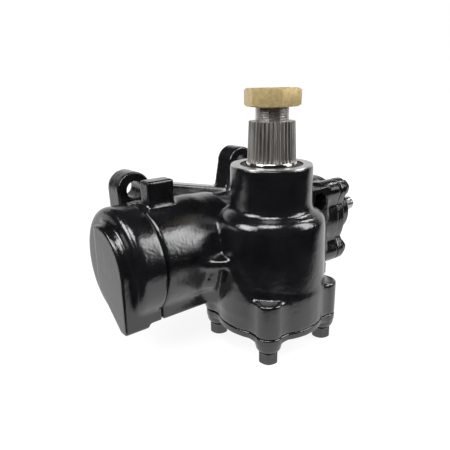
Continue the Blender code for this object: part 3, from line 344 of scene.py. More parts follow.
def ramp(tree, value, stops):
    node = tree.nodes.new("ShaderNodeValToRGB")
    node.color_ramp.elements[0].position = stops[0][0]
    node.color_ramp.elements[0].color = (*stops[0][1], 1)
    node.color_ramp.elements[1].position = stops[-1][0]
    node.color_ramp.elements[1].color = (*stops[-1][1], 1)
    for position, colour in stops[1:-1]:
        element = node.color_ramp.elements.new(position)
        element.color = (*colour, 1)
    tree.links.new(value, node.inputs["Fac"])
    return node.outputs["Color"]


def spread(tree, value, low, high):
    node = tree.nodes.new("ShaderNodeMapRange")
    node.inputs["From Min"].default_value = 0.3
    node.inputs["From Max"].default_value = 0.7
    node.inputs["To Min"].default_value = low
    node.inputs["To Max"].default_value = high
    tree.links.new(value, node.inputs["Value"])
    return node.outputs["Result"]


def bump(tree, shader, layers):
    """Chains bump layers of (height output, strength, distance) onto the shader."""
    previous = None
    for height, strength, distance in layers:
        node = tree.nodes.new("ShaderNodeBump")
        node.inputs["Strength"].default_value = strength
        node.inputs["Distance"].default_value = distance
        tree.links.new(height, node.inputs["Height"])
        if previous:
            tree.links.new(previous, node.inputs["Normal"])
        previous = node.outputs["Normal"]
    tree.links.new(previous, shader.inputs["Normal"])


def paint_material(name, peel, grit):
    """Thick gloss black over a cast skin: soft orange peel and a fine grit."""
    material, tree, shader = new_material(name, (0.006, 0.006, 0.007), 0.14)
    shader.inputs["Specular IOR Level"].default_value = 0.9
    tone = add_noise(tree, 60, 3)
    tree.links.new(ramp(tree, tone, [(0.3, (0.004, 0.004, 0.0045)), (0.7, (0.009, 0.009, 0.0105))]),
                   shader.inputs["Base Color"])
    tree.links.new(spread(tree, add_noise(tree, 140, 5), 0.1, 0.2), shader.inputs["Roughness"])
    bump(tree, shader, [
        (add_noise(tree, 420, 3), peel, 0.0004),
        (add_noise(tree, 1100, 3), grit, 0.0003),
    ])
    return material


def metal_material(name, dark, light, roughness, scale=300, stretch=(1, 1, 1)):
    material, tree, shader = new_material(name, light, roughness, 1.0)
    tone = add_noise(tree, scale, 6, stretch)
    tree.links.new(ramp(tree, tone, [(0.3, dark), (0.7, light)]), shader.inputs["Base Color"])
    tree.links.new(spread(tree, add_noise(tree, scale * 1.7, 5, stretch), roughness * 0.8, roughness * 1.3),
                   shader.inputs["Roughness"])
    bump(tree, shader, [(add_noise(tree, scale * 2, 4, stretch), 0.25, 0.0001)])
    return material


def zinc_material():
    """Yellow passivated zinc: golden brown, mottled with paler and pinkish patches."""
    material, tree, shader = new_material("yellow_zinc", (0.5, 0.4, 0.2), 0.38, 0.45)
    tone = add_noise(tree, 380, 8, roughness=0.8)
    colour = ramp(tree, tone, [
        (0.25, (0.36, 0.24, 0.1)), (0.42, (0.46, 0.34, 0.15)), (0.55, (0.54, 0.42, 0.2)),
        (0.68, (0.58, 0.46, 0.28)), (0.8, (0.66, 0.58, 0.38))])
    tree.links.new(colour, shader.inputs["Base Color"])
    tree.links.new(spread(tree, add_noise(tree, 400, 5), 0.3, 0.55), shader.inputs["Roughness"])
    bump(tree, shader, [(add_noise(tree, 500, 5), 0.4, 0.00015)])
    return material


PAINT = paint_material("black_paint_cast", 0.4, 0.25)
PAINT_SMOOTH = paint_material("black_paint_smooth", 0.1, 0.05)
STEEL = metal_material("machined_steel", (0.34, 0.33, 0.32), (0.56, 0.55, 0.53), 0.3)
SHAFT = metal_material("ground_shaft", (0.36, 0.33, 0.31), (0.55, 0.52, 0.49), 0.42, 220, (1, 1, 0.15))
CHROME = metal_material("bright_ring", (0.6, 0.59, 0.57), (0.75, 0.74, 0.72), 0.16)
THREAD = metal_material("thread_steel", (0.4, 0.39, 0.38), (0.6, 0.59, 0.57), 0.4, 260, (1, 1, 3))
ZINC = zinc_material()
RUBBER = new_material("rubber", (0.02, 0.02, 0.02), 0.65)[0]
BRONZE = metal_material("bronze", (0.35, 0.22, 0.1), (0.6, 0.43, 0.23), 0.35)


# The main casting

def ear(centre, base_x, base_z):
    up = centre[1] > base_z
    outline = arc(centre, EAR_R, 0, 180, 32) if up else arc(centre, EAR_R, 180, 360, 32)
    outline += [(base_x[0], base_z), (base_x[1], base_z)] if up else [(base_x[1], base_z), (base_x[0], base_z)]
    return prism(outline, EAR_FRONT_Y, EAR_BACK_Y, "Y")


def passage_rib(low_x, high_x):
    front = PAD_FRONT_Y + 0.25 * MM
    return prism([(front, RIB_LOW_Z), (front + 17 * MM, RIB_LOW_Z), (RACK_Y, RACK_Z - 30 * MM),
                  (RACK_Y, RACK_Z - 5 * MM), (front, RACK_Z - 5 * MM)], low_x, high_x, "X")


def skinned(loops):
    """Skins a row of closed loops of points with equal counts, and caps both ends."""
    bm = bmesh.new()
    made = [[bm.verts.new(point) for point in loop] for loop in loops]
    for low, high in zip(made, made[1:]):
        for index in range(len(low)):
            following = (index + 1) % len(low)
            bm.faces.new((low[index], low[following], high[following], high[index]))
    bm.faces.new(made[0])
    bm.faces.new(made[-1])
    return new_object("skin", bm)


# Corner between barrel and drum, in millimetres
SHELF_FRONT = ((-56, 9.5), (-38.5, -3.2))
SHELF_INWARD = Vector((0.588, 0.809))
SHELF_RINGS = ((62.8, 0.0), (67.4, 0.0), (68.6, 1.2))
SHELF_ROOT = ((-28, 5), (-30, 30), (-50, 30))
SHELF_TOP = ((-53, 9.8, 71), (-38, 3, 69.3), (-28, 8, 70), (-30, 30, 76), (-50, 30, 76))
WEB_FRONT = Vector((-46.5, 4.3))
WEB_ALONG = Vector((0.647, 0.763))
WEB_LENGTH = 26
WEB_ROOT_HALF = 6
# Setback of the front, shift to the left, half width and height
WEB_RINGS = ((14, 5.5, 6.5, 30), (9, 6.2, 5.6, 43), (4, 4.6, 4.4, 47.5), (1.5, 2.4, 3.2, 52), (0.3, 0.8, 2.8, 58),
             (0, 0, 2.8, 65.6))
# Height, angle where the wall starts and how far it stands proud of the drum
SKIRT_RINGS = ((30, 216, 0.9), (44.5, 208, 0.9), (47, 203, 0.9), (55, 194, 0.9), (64, 186, 0.5))
SKIRT_END = 140
# Height, middle and radius
LOBE_RINGS = ((21, (-27.4, 27.3), 9.7), (32, (-28.6, 28), 10.6), (42, (-30.5, 25.5), 11))


def corner_shelf():
    """The small gusset shelf between the barrel and the drum, with its front edge rounded."""
    loops = []
    for height, back in SHELF_RINGS:
        shift = SHELF_INWARD * back
        loop = [(x + shift.x, y + shift.y, height) for x, y in SHELF_FRONT]
        loops.append(loop + [(x, y, height) for x, y in SHELF_ROOT])
    loops.append(SHELF_TOP)
    return skinned([[Vector(point) * MM for point in loop] for loop in loops])


def corner_web():
    """The upright web under the shelf, which flares into the left lobe at its foot."""
    across = Vector((WEB_ALONG.y, -WEB_ALONG.x))
    far = WEB_FRONT + WEB_ALONG * WEB_LENGTH
    root = [far + across * WEB_ROOT_HALF, far - across * WEB_ROOT_HALF]
    loops = []
    for setback, left, half, height in WEB_RINGS:
        near = WEB_FRONT + WEB_ALONG * setback - across * left
        loop = [near - across * half, near + across * half] + root
        loops.append([(point.x * MM, point.y * MM, height * MM) for point in loop])
    return skinned(loops)


def corner_skirt():
    """The thicker wall low on the drum beside the web. Its raised edge runs down to the front lobe."""
    loops = []
    for height, first, proud in SKIRT_RINGS:
        points = arc((0, 0), DRUM_LOW_R + proud * MM, first, SKIRT_END, 24)
        points += arc((0, 0), CHAMBER_R + 2 * MM, SKIRT_END, first, 24)
        loops.append([(x, y, height * MM) for x, y in points])
    return skinned(loops)


def left_lobe():
    """The left lobe's column, wider towards its top."""
    loops = []
    for height, middle, reach in LOBE_RINGS:
        loops.append([(x * MM, y * MM, height * MM) for x, y in arc(middle, reach, 0, 345, 23)])
    return skinned(loops)


def housing_parts():
    barrel = turned([
        (CAP_SEAM_X, 0), (CAP_SEAM_X, BARREL_R - 0.8 * MM), (CAP_SEAM_X + 1.2 * MM, BARREL_R),
        (-38 * MM, BARREL_R), (-30 * MM, BARREL_R - 0.9 * MM), (-18 * MM, NECK_R + 3 * MM), (-8 * MM, NECK_R),
        (FLANGE_X - 1 * MM, NECK_R), (FLANGE_X - 1 * MM, 0)], X_AXIS, RACK_CENTRE)
    tower = turned([
        (FLANGE_LOW_Z + 1 * MM, 0), (FLANGE_LOW_Z + 1 * MM, DRUM_LOW_R), (FLANGE_TOP_Z - 4 * MM, DRUM_LOW_R),
        (SHOULDER_Z - 10 * MM, DRUM_TOP_R), (SHOULDER_Z - 6 * MM, DRUM_TOP_R - 0.6 * MM),
        (SHOULDER_Z - 3 * MM, DRUM_TOP_R - 2.2 * MM), (SHOULDER_Z - 1 * MM, DRUM_TOP_R - 4.6 * MM),
        (SHOULDER_Z, TOWER_R + 2 * MM), (SHOULDER_Z + 1.5 * MM, TOWER_R),
        (TOWER_TOP_Z - 0.8 * MM, TOWER_R), (TOWER_TOP_Z, TOWER_R - 0.8 * MM), (TOWER_TOP_Z, 0)])
    flange = prism(lobed_round(LOBE_R, FLANGE_R), FLANGE_LOW_Z, FLANGE_TOP_Z)
    slope = prism([(-80 * MM, 33 * MM), (-46 * MM, 33 * MM), (-40.5 * MM, 45 * MM), (-40 * MM, 60 * MM),
                   (-80 * MM, 60 * MM)], -30 * MM, 30 * MM, "Y")
    slope.data.transform(Matrix.Rotation(math.radians(-45), 4, "Z"))
    boolean(flange, slope, "DIFFERENCE")
    end_outline = lobed_round(LOBE_R, NECK_R + 1.5 * MM, (RACK_Y, RACK_Z))
    end_flange = prism(end_outline, FLANGE_X - 23 * MM, FLANGE_X, "X")
    wall = prism([(-66 * MM, 60 * MM), (-60 * MM, 104 * MM), (-35.7 * MM, 109.1 * MM), (19.6 * MM, 97.6 * MM),
                  (38 * MM, 104 * MM), (48 * MM, 60 * MM)], EAR_FRONT_Y + 0.4 * MM, EAR_BACK_Y - 0.4 * MM, "Y")
    boss = box((-76.1 * MM, 35.8 * MM, RACK_Z), (-56.3 * MM, 47.7 * MM, 121.4 * MM))
    reach = 12 * MM
    port_boss = box((PORT_X - reach, PORT_FACE_Y, PORT_LOW_Z - reach),
                    (PORT_X + reach, RACK_Y, PORT_HIGH_Z + reach))
    corner = [corner_shelf(), corner_web(), corner_skirt(), left_lobe()]
    ears = [ear(EARS[0], (-79 * MM, -46 * MM), 62 * MM), ear(EARS[1], (10 * MM, 58 * MM), 62 * MM),
            ear(EARS[2], (6 * MM, 54 * MM), 70 * MM)]
    rib = passage_rib(CAP_SEAM_X + 0.05 * MM, -20 * MM)
    return [barrel, tower, flange, end_flange, wall, boss, port_boss] + corner + [rib] + ears


def housing_bores():
    spigot_bore_r = SPIGOT_R + SEAM
    cylinder = turned([
        (CAP_SEAM_X - PAST, 0), (CAP_SEAM_X - PAST, CYLINDER_R), (CYLINDER_STEP_X, CYLINDER_R),
        (CYLINDER_STEP_X + 4 * MM, NUT_BORE_R), (NUT_BORE_END_X, NUT_BORE_R), (NUT_BORE_END_X, spigot_bore_r),
        (FLANGE_X + PAST, spigot_bore_r), (FLANGE_X + PAST, 0)], X_AXIS, RACK_CENTRE)
    chamber = turned([
        (FLANGE_LOW_Z - PAST, 0), (FLANGE_LOW_Z - PAST, CHAMBER_R), (88 * MM, CHAMBER_R), (88 * MM, 18.4 * MM),
        (91.7 * MM, 18.4 * MM), (91.7 * MM, 20.4 * MM), (112.6 * MM, 20.4 * MM), (112.6 * MM, TOWER_BORE_R),
        (TOWER_TOP_Z + PAST, TOWER_BORE_R), (TOWER_TOP_Z + PAST, 0)])
    cutters = [cylinder, chamber]
    for x, y in corners(BOLT_SPAN):
        cutters.append(rod(FLANGE_LOW_Z - PAST, 36 * MM, BOLT_HOLE_R, centre=(x, y, 0)))
    for y, z in corners(BOLT_SPAN):
        place = (0, RACK_Y + y, RACK_Z + z)
        cutters.append(rod(FLANGE_X - 20 * MM, FLANGE_X + PAST, BOLT_HOLE_R, X_AXIS, place))
    for x, z in EARS:
        cutters.append(rod(EAR_FRONT_Y - PAST, EAR_BACK_Y + PAST, EAR_HOLE_R, Y_AXIS, (x, 0, z)))
    for z in (PORT_HIGH_Z, PORT_LOW_Z):
        cutters.append(turned([
            (PORT_FACE_Y - PAST, 0), (PORT_FACE_Y - PAST, PORT_R), (PORT_FACE_Y + 13 * MM, PORT_R),
            (PORT_FACE_Y + 13 * MM, 3 * MM), (PORT_FACE_Y + 20 * MM, 3 * MM), (PORT_FACE_Y + 20 * MM, 0)],
            Y_AXIS, (PORT_X, 0, z), 48))
    cutters.append(rod(24 * MM, 36 * MM, PLUG_HOLE_R, centre=(80 * MM, 20.5 * MM, 0)))
    return cutters


def gear_housing():
    casting = voxel_union("housing_casting", housing_parts(), 0.9 * MM)
    relax(casting, 30, hollows_only=True)
    relax(casting, 4)
    roughen(casting, 0.045 * MM, 190, 3)
    subtract(casting, housing_bores())
    dress(shade(casting), "housing", PAINT, "black_paint", "gear_housing")


def tower_face():
    """The bare machined ring on top of the tower."""
    low, high = TOWER_TOP_Z - 0.6 * MM, TOWER_TOP_Z + PROUD
    face = turned([(low, 21.5 * MM), (low, 27.9 * MM), (high, 27.7 * MM), (high, 21.7 * MM)], name="tower_face")
    dress(shade(face, 20), "housing", STEEL, "machined_steel")


def cap_outlines():
    """The pad's face, and the outline round its foot, which is a little wider above the rack's axis."""
    top_angle = math.degrees(math.acos((PAD_BACK_Y - RACK_Y) / PAD_R))
    face = [(PAD_FRONT_Y, FOOT_LOW_Z + 2 * MM)] + arc((RACK_Y, RACK_Z), PAD_R, 180, top_angle, 40)
    face += [(PAD_BACK_Y, RACK_Z - 16 * MM), (PAD_FRONT_Y + 8.5 * MM, FOOT_LOW_Z),
             (PAD_FRONT_Y + 2 * MM, FOOT_LOW_Z)]
    middle = Vector((RACK_Y - 8 * MM, RACK_Z - 4 * MM))
    wide = []
    for y, z in face:
        out = (Vector((y, z)) - middle).normalized() * 0.8 * MM if z > RACK_Z else Vector((0, 0))
        wide.append((y + out.x, z + out.y))
    return face, wide


def end_cap():
    cap_r = BARREL_R + 0.6 * MM
    body = turned([
        (CAP_RIM_X, 0), (CAP_RIM_X, cap_r - 4.6 * MM), (CAP_RIM_X + 0.6 * MM, cap_r - 2.6 * MM),
        (CAP_RIM_X + 1.6 * MM, cap_r - 1.2 * MM), (CAP_RIM_X + 3 * MM, cap_r - 0.4 * MM),
        (CAP_RIM_X + 4.6 * MM, cap_r), (CAP_SEAM_X - 1.1 * MM, cap_r), (CAP_SEAM_X - SEAM, cap_r - 0.8 * MM),
        (CAP_SEAM_X - SEAM, 0)], X_AXIS, RACK_CENTRE)
    face, wide = cap_outlines()
    pad = loft([(wide, FOOT_END_X), (wide, CAP_RIM_X - 0.2 * MM), (face, PAD_FACE_X + 0.6 * MM),
                (face, PAD_FACE_X)], "X")
    rib = passage_rib(FOOT_END_X - 2 * MM, CAP_SEAM_X - 0.35 * MM)
    casting = voxel_union("end_cap_casting", [body, pad, rib], 0.8 * MM)
    relax(casting, 30, hollows_only=True)
    relax(casting, 5)
    roughen(casting, 0.02 * MM, 120, 5)
    bore_r = CYLINDER_R - 5.5 * MM
    subtract(casting, [rod(CYLINDER_END_X, CAP_SEAM_X + PAST, bore_r, X_AXIS, RACK_CENTRE, ROUND)])
    dress(shade(casting), "housing", PAINT, "black_paint", "cylinder_end_cap")


def side_cover():
    rim = prism(lobed_round(LOBE_R, COVER_R), COVER_RIM_Z, FLANGE_LOW_Z - 0.15 * MM)
    nose = turned([(4.6 * MM, 0), (4.6 * MM, 11 * MM), (8 * MM, 13 * MM), (17 * MM, 13 * MM), (17 * MM, 0)])
    parts = [rim, nose]
    for x, y in corners(BOLT_SPAN):
        parts.append(turned([
            (COVER_BOSS_Z, 0), (COVER_BOSS_Z, 6.9 * MM), (10.2 * MM, 8.2 * MM), (12.5 * MM, 8.9 * MM),
            (16 * MM, 9.3 * MM), (18 * MM, 9.3 * MM), (18 * MM, 0)], centre=(x, y, 0), steps=64))
    casting = voxel_union("side_cover_casting", parts, 0.6 * MM)
    relax(casting, 10, hollows_only=True)
    relax(casting, 3)
    roughen(casting, 0.035 * MM, 190, 7)
    cutters = [rod(0, 30 * MM, 5.1 * MM), rod(19 * MM, 30 * MM, 16.9 * MM)]
    for x, y in corners(BOLT_SPAN):
        cutters.append(rod(0, 30 * MM, BOLT_HOLE_R, centre=(x, y, 0)))
    subtract(casting, cutters)
    dress(shade(casting), "housing", PAINT, "black_paint", "side_cover")


def valve_housing():
    plate_outline = lobed_round(LOBE_R, NECK_R + 0.5 * MM, (RACK_Y, RACK_Z))
    plate = prism(plate_outline, FLANGE_X + SEAM, VALVE_FLANGE_X, "X")
    hub = turned([
        (FLANGE_X + 2 * MM, 0), (FLANGE_X + 2 * MM, 26 * MM), (VALVE_FLANGE_X + 3 * MM, 26 * MM),
        (VALVE_FLANGE_X + 8 * MM, HUB_R), (HUB_END_X - 1.5 * MM, HUB_R), (HUB_END_X, HUB_R - 1.5 * MM),
        (HUB_END_X, 0)], X_AXIS, RACK_CENTRE)
    casting = voxel_union("valve_housing_casting", [plate, hub], 0.6 * MM)
    relax(casting, 16, hollows_only=True)
    relax(casting, 5)
    roughen(casting, 0.035 * MM, 190, 9)
    cutters = [turned([
        (FLANGE_X - PAST, 0), (FLANGE_X - PAST, 15.7 * MM), (113.1 * MM, 15.7 * MM), (113.1 * MM, 13 * MM),
        (HUB_END_X + PAST, 13 * MM), (HUB_END_X + PAST, 0)], X_AXIS, RACK_CENTRE)]
    for y, z in corners(BOLT_SPAN):
        place = (0, RACK_Y + y, RACK_Z + z)
        cutters.append(rod(FLANGE_X - PAST, VALVE_FLANGE_X + PAST, BOLT_HOLE_R, X_AXIS, place))
    subtract(casting, cutters)
    dress(shade(casting), "housing", PAINT, "black_paint", "valve_housing")


# Fasteners

def hexagon(flats, turn):
    return arc((0, 0), flats / math.sqrt(3), turn, turn + 300, 5)


def bolt(name, tip, inward, tall, node):
    """A washer-faced hex bolt head with a chamfered crown. Its crown is at tip, and it screws in along inward."""
    head = prism(hexagon(HEAD_FLATS, 45), 0, tall)
    crown = turned([(-1 * MM, 0), (-1 * MM, 5.6 * MM), (0, 6.1 * MM), (1.2 * MM, 7.4 * MM),
                    (tall + 1 * MM, 7.4 * MM), (tall + 1 * MM, 0)], steps=64)
    boolean(head, crown, "INTERSECT")
    washer = turned([(tall - 1 * MM, 0), (tall - 1 * MM, WASHER_R - 0.2 * MM), (tall - 0.7 * MM, WASHER_R),
                     (tall, WASHER_R), (tall, 0)], steps=64)
    joined = voxel_union(name, [head, washer], 0.35 * MM)
    relax(joined, 3)
    turn = Z_AXIS.rotation_difference(inward).to_matrix().to_4x4()
    joined.data.transform(Matrix.Translation(Vector(tip)) @ turn)
    dress(shade(joined, 30), "housing", PAINT_SMOOTH, "painted_fastener", node)


def all_bolts():
    for index, (x, y) in enumerate(corners(BOLT_SPAN)):
        bolt(f"cover_bolt_head_{index + 1}", (x, y, 0), Z_AXIS, HEAD_TALL, f"side_cover_bolt_{index + 1}")
    for index, (y, z) in enumerate(corners(BOLT_SPAN)):
        tip = (VALVE_FLANGE_X + SEAM + VALVE_HEAD_TALL, RACK_Y + y, RACK_Z + z)
        bolt(f"valve_bolt_head_{index + 1}", tip, -X_AXIS, VALVE_HEAD_TALL, f"valve_housing_bolt_{index + 1}")


# Output shaft and nut

def serrations():
    """The tapered serrated length: rounded ridges that run out at the bottom."""
    levels = 32
    across = SPLINE_COUNT * 10
    low, high = SPLINE_LOW_Z + 0.1 * MM, SPLINE_TOP_Z + PROUD
    rings = []
    for level in range(levels + 1):
        share = level / levels
        top = SPLINE_LOW_R + (SPLINE_TOP_R - SPLINE_LOW_R) * share + PROUD
        depth = SPLINE_DEPTH * min(1.0, share / 0.1)
        outline = []
        for point in range(across):
            turn = 2 * math.pi * point / across
            wave = 0.5 - 0.5 * math.cos(SPLINE_COUNT * turn)
            size = top - depth * (1 - wave ** 0.6)
            outline.append((size * math.cos(turn), size * math.sin(turn)))
        rings.append((outline, low + (high - low) * share))
    return loft(rings, name="serrations")


def thread_part(low, high):
    """A threaded length as one closed skin whose radius follows the helix."""
    around = 72
    rows = round((high - low) / THREAD_PITCH * 12)
    rings = []
    for row in range(rows + 1):
        height = low + (high - low) * row / rows
        outline = []
        for point in range(around):
            share = (height / THREAD_PITCH - point / around) % 1.0
            ridge = min(1.0, 1.5 * (1 - abs(2 * share - 1)))
            size = THREAD_R + PROUD - THREAD_DEPTH * (1 - ridge)
            if row in (0, rows):
                size = THREAD_R + 0.1 * MM - THREAD_DEPTH
            turn = 2 * math.pi * point / around
            outline.append((size * math.cos(turn), size * math.sin(turn)))
        rings.append((outline, height))
    return loft(rings, name="thread_ridge")


def sector_shaft():
    """Fine detail over the shaft's solid: serrations, thread and the bright seal track at their foot."""
    dress(shade(serrations(), 60), "sector", SHAFT, "ground_shaft")
    dress(shade(thread_part(SPLINE_TOP_Z + 0.1 * MM, SHAFT_TOP_Z), 50), "sector", THREAD, "ground_shaft")
    track_low, track_high = TOWER_TOP_Z - 0.9 * MM, SPLINE_LOW_Z + 0.7 * MM
    track = turned([
        (track_low, 15 * MM), (track_low, 17.2 * MM), (track_high - 0.5 * MM, 17.2 * MM), (track_high, 16.8 * MM),
        (track_high, 15 * MM)], name="seal_track")
    dress(shade(track), "sector", CHROME, "ground_shaft")


def pitman_nut():
    """The nut for the drop arm: chamfered crowns, a countersunk bore and soft edges."""
    low, top = NUT_LOW_Z, NUT_LOW_Z + NUT_TALL
    past = 1 * MM
    nut = prism(hexagon(NUT_FLATS, 4.5), low, top)
    crown = turned([
        (low - past, 0), (low - past, 16.4 * MM), (low, 17.2 * MM), (low + 1.5 * MM, 19.6 * MM),
        (top - 1.5 * MM, 19.6 * MM), (top, 17.2 * MM), (top + past, 16.4 * MM), (top + past, 0)])
    boolean(nut, crown, "INTERSECT")
    bore_r = THREAD_R + 0.3 * MM
    bore = turned([(low - 2 * MM, 0), (low - 2 * MM, bore_r), (top - past, bore_r), (top + past, bore_r + 2 * MM),
                   (top + past, 0)])
    subtract(nut, [bore])
    bevel = nut.modifiers.new("edge", "BEVEL")
    bevel.width = 0.35 * MM
    bevel.segments = 3
    bevel.limit_method = "ANGLE"
    bevel.angle_limit = math.radians(25)
    applied(nut)
    nut.name = "nut_body"
    dress(shade(nut, 30), "sector", ZINC, "yellow_zinc", "pitman_nut")


def solid_materials():
    """Materials of the solids that stay as they are."""
    looks = {"rubber_seal": RUBBER, "bronze": BRONZE, "machined_steel": STEEL, "ground_shaft": SHAFT,
             "painted_fastener": PAINT_SMOOTH, "black_paint": PAINT, "yellow_zinc": ZINC}
    for row in frame["record"]["subparts"]:
        node = frame["nodes"][row["node"]]
        node.data.materials.clear()
        node.data.materials.append(looks[row["material_slot"]])
        shade(node, 30)


# Studio: lamps with azimuth, elevation, distance, size and power
LAMP_AIM_Z = 70 * MM
LAMPS = (
    ("soft_right", -47, 33, 1.0, (0.42, 0.75), 6.5),
    ("soft_left", 168, 38, 1.0, (0.5, 0.5), 7),
    ("soft_top", -140, 66, 1.0, (0.5, 0.45), 6),
    ("soft_back", -6, 44, 1.1, (0.12, 0.3), 1.6),
)
# Where the table ends for mirrors, and where its glow rises to the backdrop's white
TABLE_FRONT = (-150 * MM, -112 * MM)
TABLE_LEFT = (-145 * MM, -105 * MM)
GLOW_REACH = (200 * MM, 450 * MM)
GLOW_NEAR = 0.9
TABLE_REACH = 6.0
# Shares of direction where the backdrop starts behind the part and ends above it, and the levels of the room
BACKDROP_START = (0.35, 0.7)
BACKDROP_END = (0.4, 0.55)
BACKDROP_LEVEL = 0.98
ROOM_LEVEL = 0.01
FILL_LEVEL = 0.12


def area_lamp(name, place, size, power):
    data = bpy.data.lights.new(name, "AREA")
    data.shape = "RECTANGLE"
    data.size, data.size_y = size
    data.energy = power
    lamp = bpy.data.objects.new(name, data)
    lamp.location = place
    lamp.rotation_euler = (Vector((0, 0, LAMP_AIM_Z)) - Vector(place)).to_track_quat("-Z", "Y").to_euler()
    bpy.context.scene.collection.objects.link(lamp)


def math_node(tree, operation, first, second):
    node = tree.nodes.new("ShaderNodeMath")
    node.operation = operation
    for index, value in enumerate((first, second)):
        if isinstance(value, (int, float)):
            node.inputs[index].default_value = value
        else:
            tree.links.new(value, node.inputs[index])
    return node.outputs[0]


def smooth_range(tree, value, low, high):
    node = tree.nodes.new("ShaderNodeMapRange")
    node.interpolation_type = "SMOOTHSTEP"
    node.inputs["From Min"].default_value = low
    node.inputs["From Max"].default_value = high
    tree.links.new(value, node.inputs["Value"])
    return node.outputs["Result"]


def along(tree, vector, direction):
    node = tree.nodes.new("ShaderNodeVectorMath")
    node.operation = "DOT_PRODUCT"
    node.inputs[1].default_value = direction
    tree.links.new(vector, node.inputs[0])
    return node.outputs["Value"]


def mix(tree, share, first, second):
    node = tree.nodes.new("ShaderNodeMixShader")
    for index, value in enumerate((share, first, second)):
        tree.links.new(value, node.inputs[index])
    return node.outputs[0]


def mirror_rays(tree, path):
    """One where a metal or glass surface looks at the studio."""
    return math_node(tree, "MAXIMUM", path.outputs["Is Glossy Ray"], path.outputs["Is Transmission Ray"])


def studio_floor():
    """A white table. Its front and left edges are close, and mirrors see the dark room beyond them."""
    floor = box((-TABLE_REACH, -TABLE_REACH, -20 * MM), (TABLE_REACH, TABLE_REACH, 0))
    floor.name = "studio_floor"
    material, tree, shader = new_material("floor_white", (0.85, 0.85, 0.85), 0.9)
    path = tree.nodes.new("ShaderNodeLightPath")
    place = tree.nodes.new("ShaderNodeTexCoord").outputs["Object"]
    front = smooth_range(tree, along(tree, place, (0, 1, 0)), *TABLE_FRONT)
    left = smooth_range(tree, along(tree, place, (0.9, 0.43, 0)), *TABLE_LEFT)
    distance = tree.nodes.new("ShaderNodeVectorMath")
    distance.operation = "LENGTH"
    tree.links.new(place, distance.inputs[0])
    far = smooth_range(tree, distance.outputs["Value"], *GLOW_REACH)
    rise = math_node(tree, "MULTIPLY", far, 1 - GLOW_NEAR)
    glow = tree.nodes.new("ShaderNodeEmission")
    tree.links.new(math_node(tree, "ADD", rise, GLOW_NEAR), glow.inputs["Strength"])
    matt = tree.nodes.new("ShaderNodeBsdfDiffuse")
    matt.inputs["Color"].default_value = (0.2, 0.2, 0.2, 1)
    both = tree.nodes.new("ShaderNodeAddShader")
    tree.links.new(glow.outputs[0], both.inputs[0])
    tree.links.new(matt.outputs[0], both.inputs[1])
    mirrored = tree.nodes.new("ShaderNodeEmission")
    tree.links.new(math_node(tree, "MULTIPLY", front, left), mirrored.inputs["Strength"])
    inner = mix(tree, mirror_rays(tree, path), shader.outputs[0], mirrored.outputs[0])
    outer = mix(tree, path.outputs["Is Camera Ray"], inner, both.outputs[0])
    tree.links.new(outer, tree.nodes["Material Output"].inputs["Surface"])
    floor.data.materials.append(material)


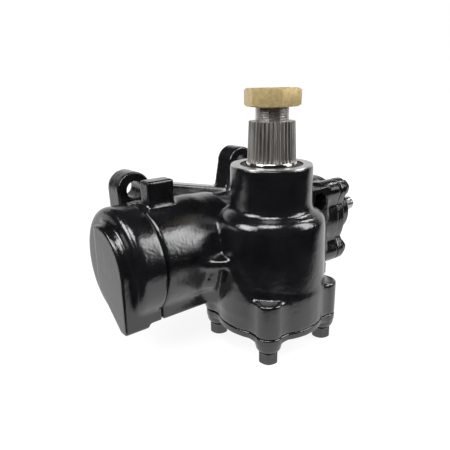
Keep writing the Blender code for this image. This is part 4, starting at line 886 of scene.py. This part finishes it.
def studio_world():
    """A white backdrop behind the part, and a dim room on the camera's side."""
    world = bpy.data.worlds.new("studio_world")
    world.use_nodes = True
    bpy.context.scene.world = world
    tree = world.node_tree
    path = tree.nodes.new("ShaderNodeLightPath")
    direction = tree.nodes.new("ShaderNodeTexCoord").outputs["Generated"]
    behind = smooth_range(tree, along(tree, direction, (0.62, 0.78, 0)), *BACKDROP_START)
    above = smooth_range(tree, along(tree, direction, (0, 0, 1)), *BACKDROP_END)
    backdrop = math_node(tree, "MULTIPLY", behind, math_node(tree, "SUBTRACT", 1.0, above))
    mirrored = math_node(tree, "ADD", math_node(tree, "MULTIPLY", backdrop, BACKDROP_LEVEL), ROOM_LEVEL)
    mirrors = mirror_rays(tree, path)
    seen = path.outputs["Is Camera Ray"]
    others = math_node(tree, "SUBTRACT", math_node(tree, "SUBTRACT", 1.0, mirrors), seen)
    level = math_node(tree, "ADD", math_node(tree, "MULTIPLY", mirrors, mirrored),
                      math_node(tree, "ADD", seen, math_node(tree, "MULTIPLY", others, FILL_LEVEL)))
    background = tree.nodes["Background"]
    background.inputs["Color"].default_value = (1, 1, 1, 1)
    tree.links.new(level, background.inputs["Strength"])


def sky(azimuth, elevation, distance):
    """A place at an azimuth from +X and an elevation, in degrees, about the part."""
    turn, rise = math.radians(azimuth), math.radians(elevation)
    flat = distance * math.cos(rise)
    return (flat * math.cos(turn), flat * math.sin(turn), LAMP_AIM_Z + distance * math.sin(rise))


def studio():
    studio_floor()
    studio_world()
    for name, azimuth, elevation, distance, size, power in LAMPS:
        area_lamp(name, sky(azimuth, elevation, distance), size, power)


# The camera fitted to the photograph
CAMERA_PLACE = (-222.42 * MM, -227.74 * MM, 183.67 * MM)
CAMERA_AZIMUTH = math.radians(-38.48)
CAMERA_DOWN = math.radians(17.16)
CAMERA_ROLL = math.radians(-0.95)
FOCAL_PIXELS = 467.0
IMAGE_PIXELS = 450.0


def camera():
    sin_a, cos_a = math.sin(CAMERA_AZIMUTH), math.cos(CAMERA_AZIMUTH)
    sin_t, cos_t = math.sin(CAMERA_DOWN), math.cos(CAMERA_DOWN)
    back = Vector((sin_a * cos_t, -cos_a * cos_t, sin_t))
    right = Vector((cos_a, sin_a, 0))
    up = back.cross(right)
    right_rolled = right * math.cos(CAMERA_ROLL) + up * math.sin(CAMERA_ROLL)
    up_rolled = up * math.cos(CAMERA_ROLL) - right * math.sin(CAMERA_ROLL)
    data = bpy.data.cameras.new("camera")
    data.sensor_width = 36
    data.lens = FOCAL_PIXELS / IMAGE_PIXELS * data.sensor_width
    data.clip_start = 0.01
    made = bpy.data.objects.new("camera", data)
    turn = Matrix((right_rolled, up_rolled, back)).transposed().to_4x4()
    made.matrix_world = Matrix.Translation(Vector(CAMERA_PLACE)) @ turn
    bpy.context.scene.collection.objects.link(made)
    bpy.context.scene.camera = made


solid_materials()
gear_housing()
tower_face()
end_cap()
side_cover()
valve_housing()
all_bolts()
sector_shaft()
pitman_nut()
studio()
camera()
bpy.context.scene.view_settings.view_transform = "Standard"
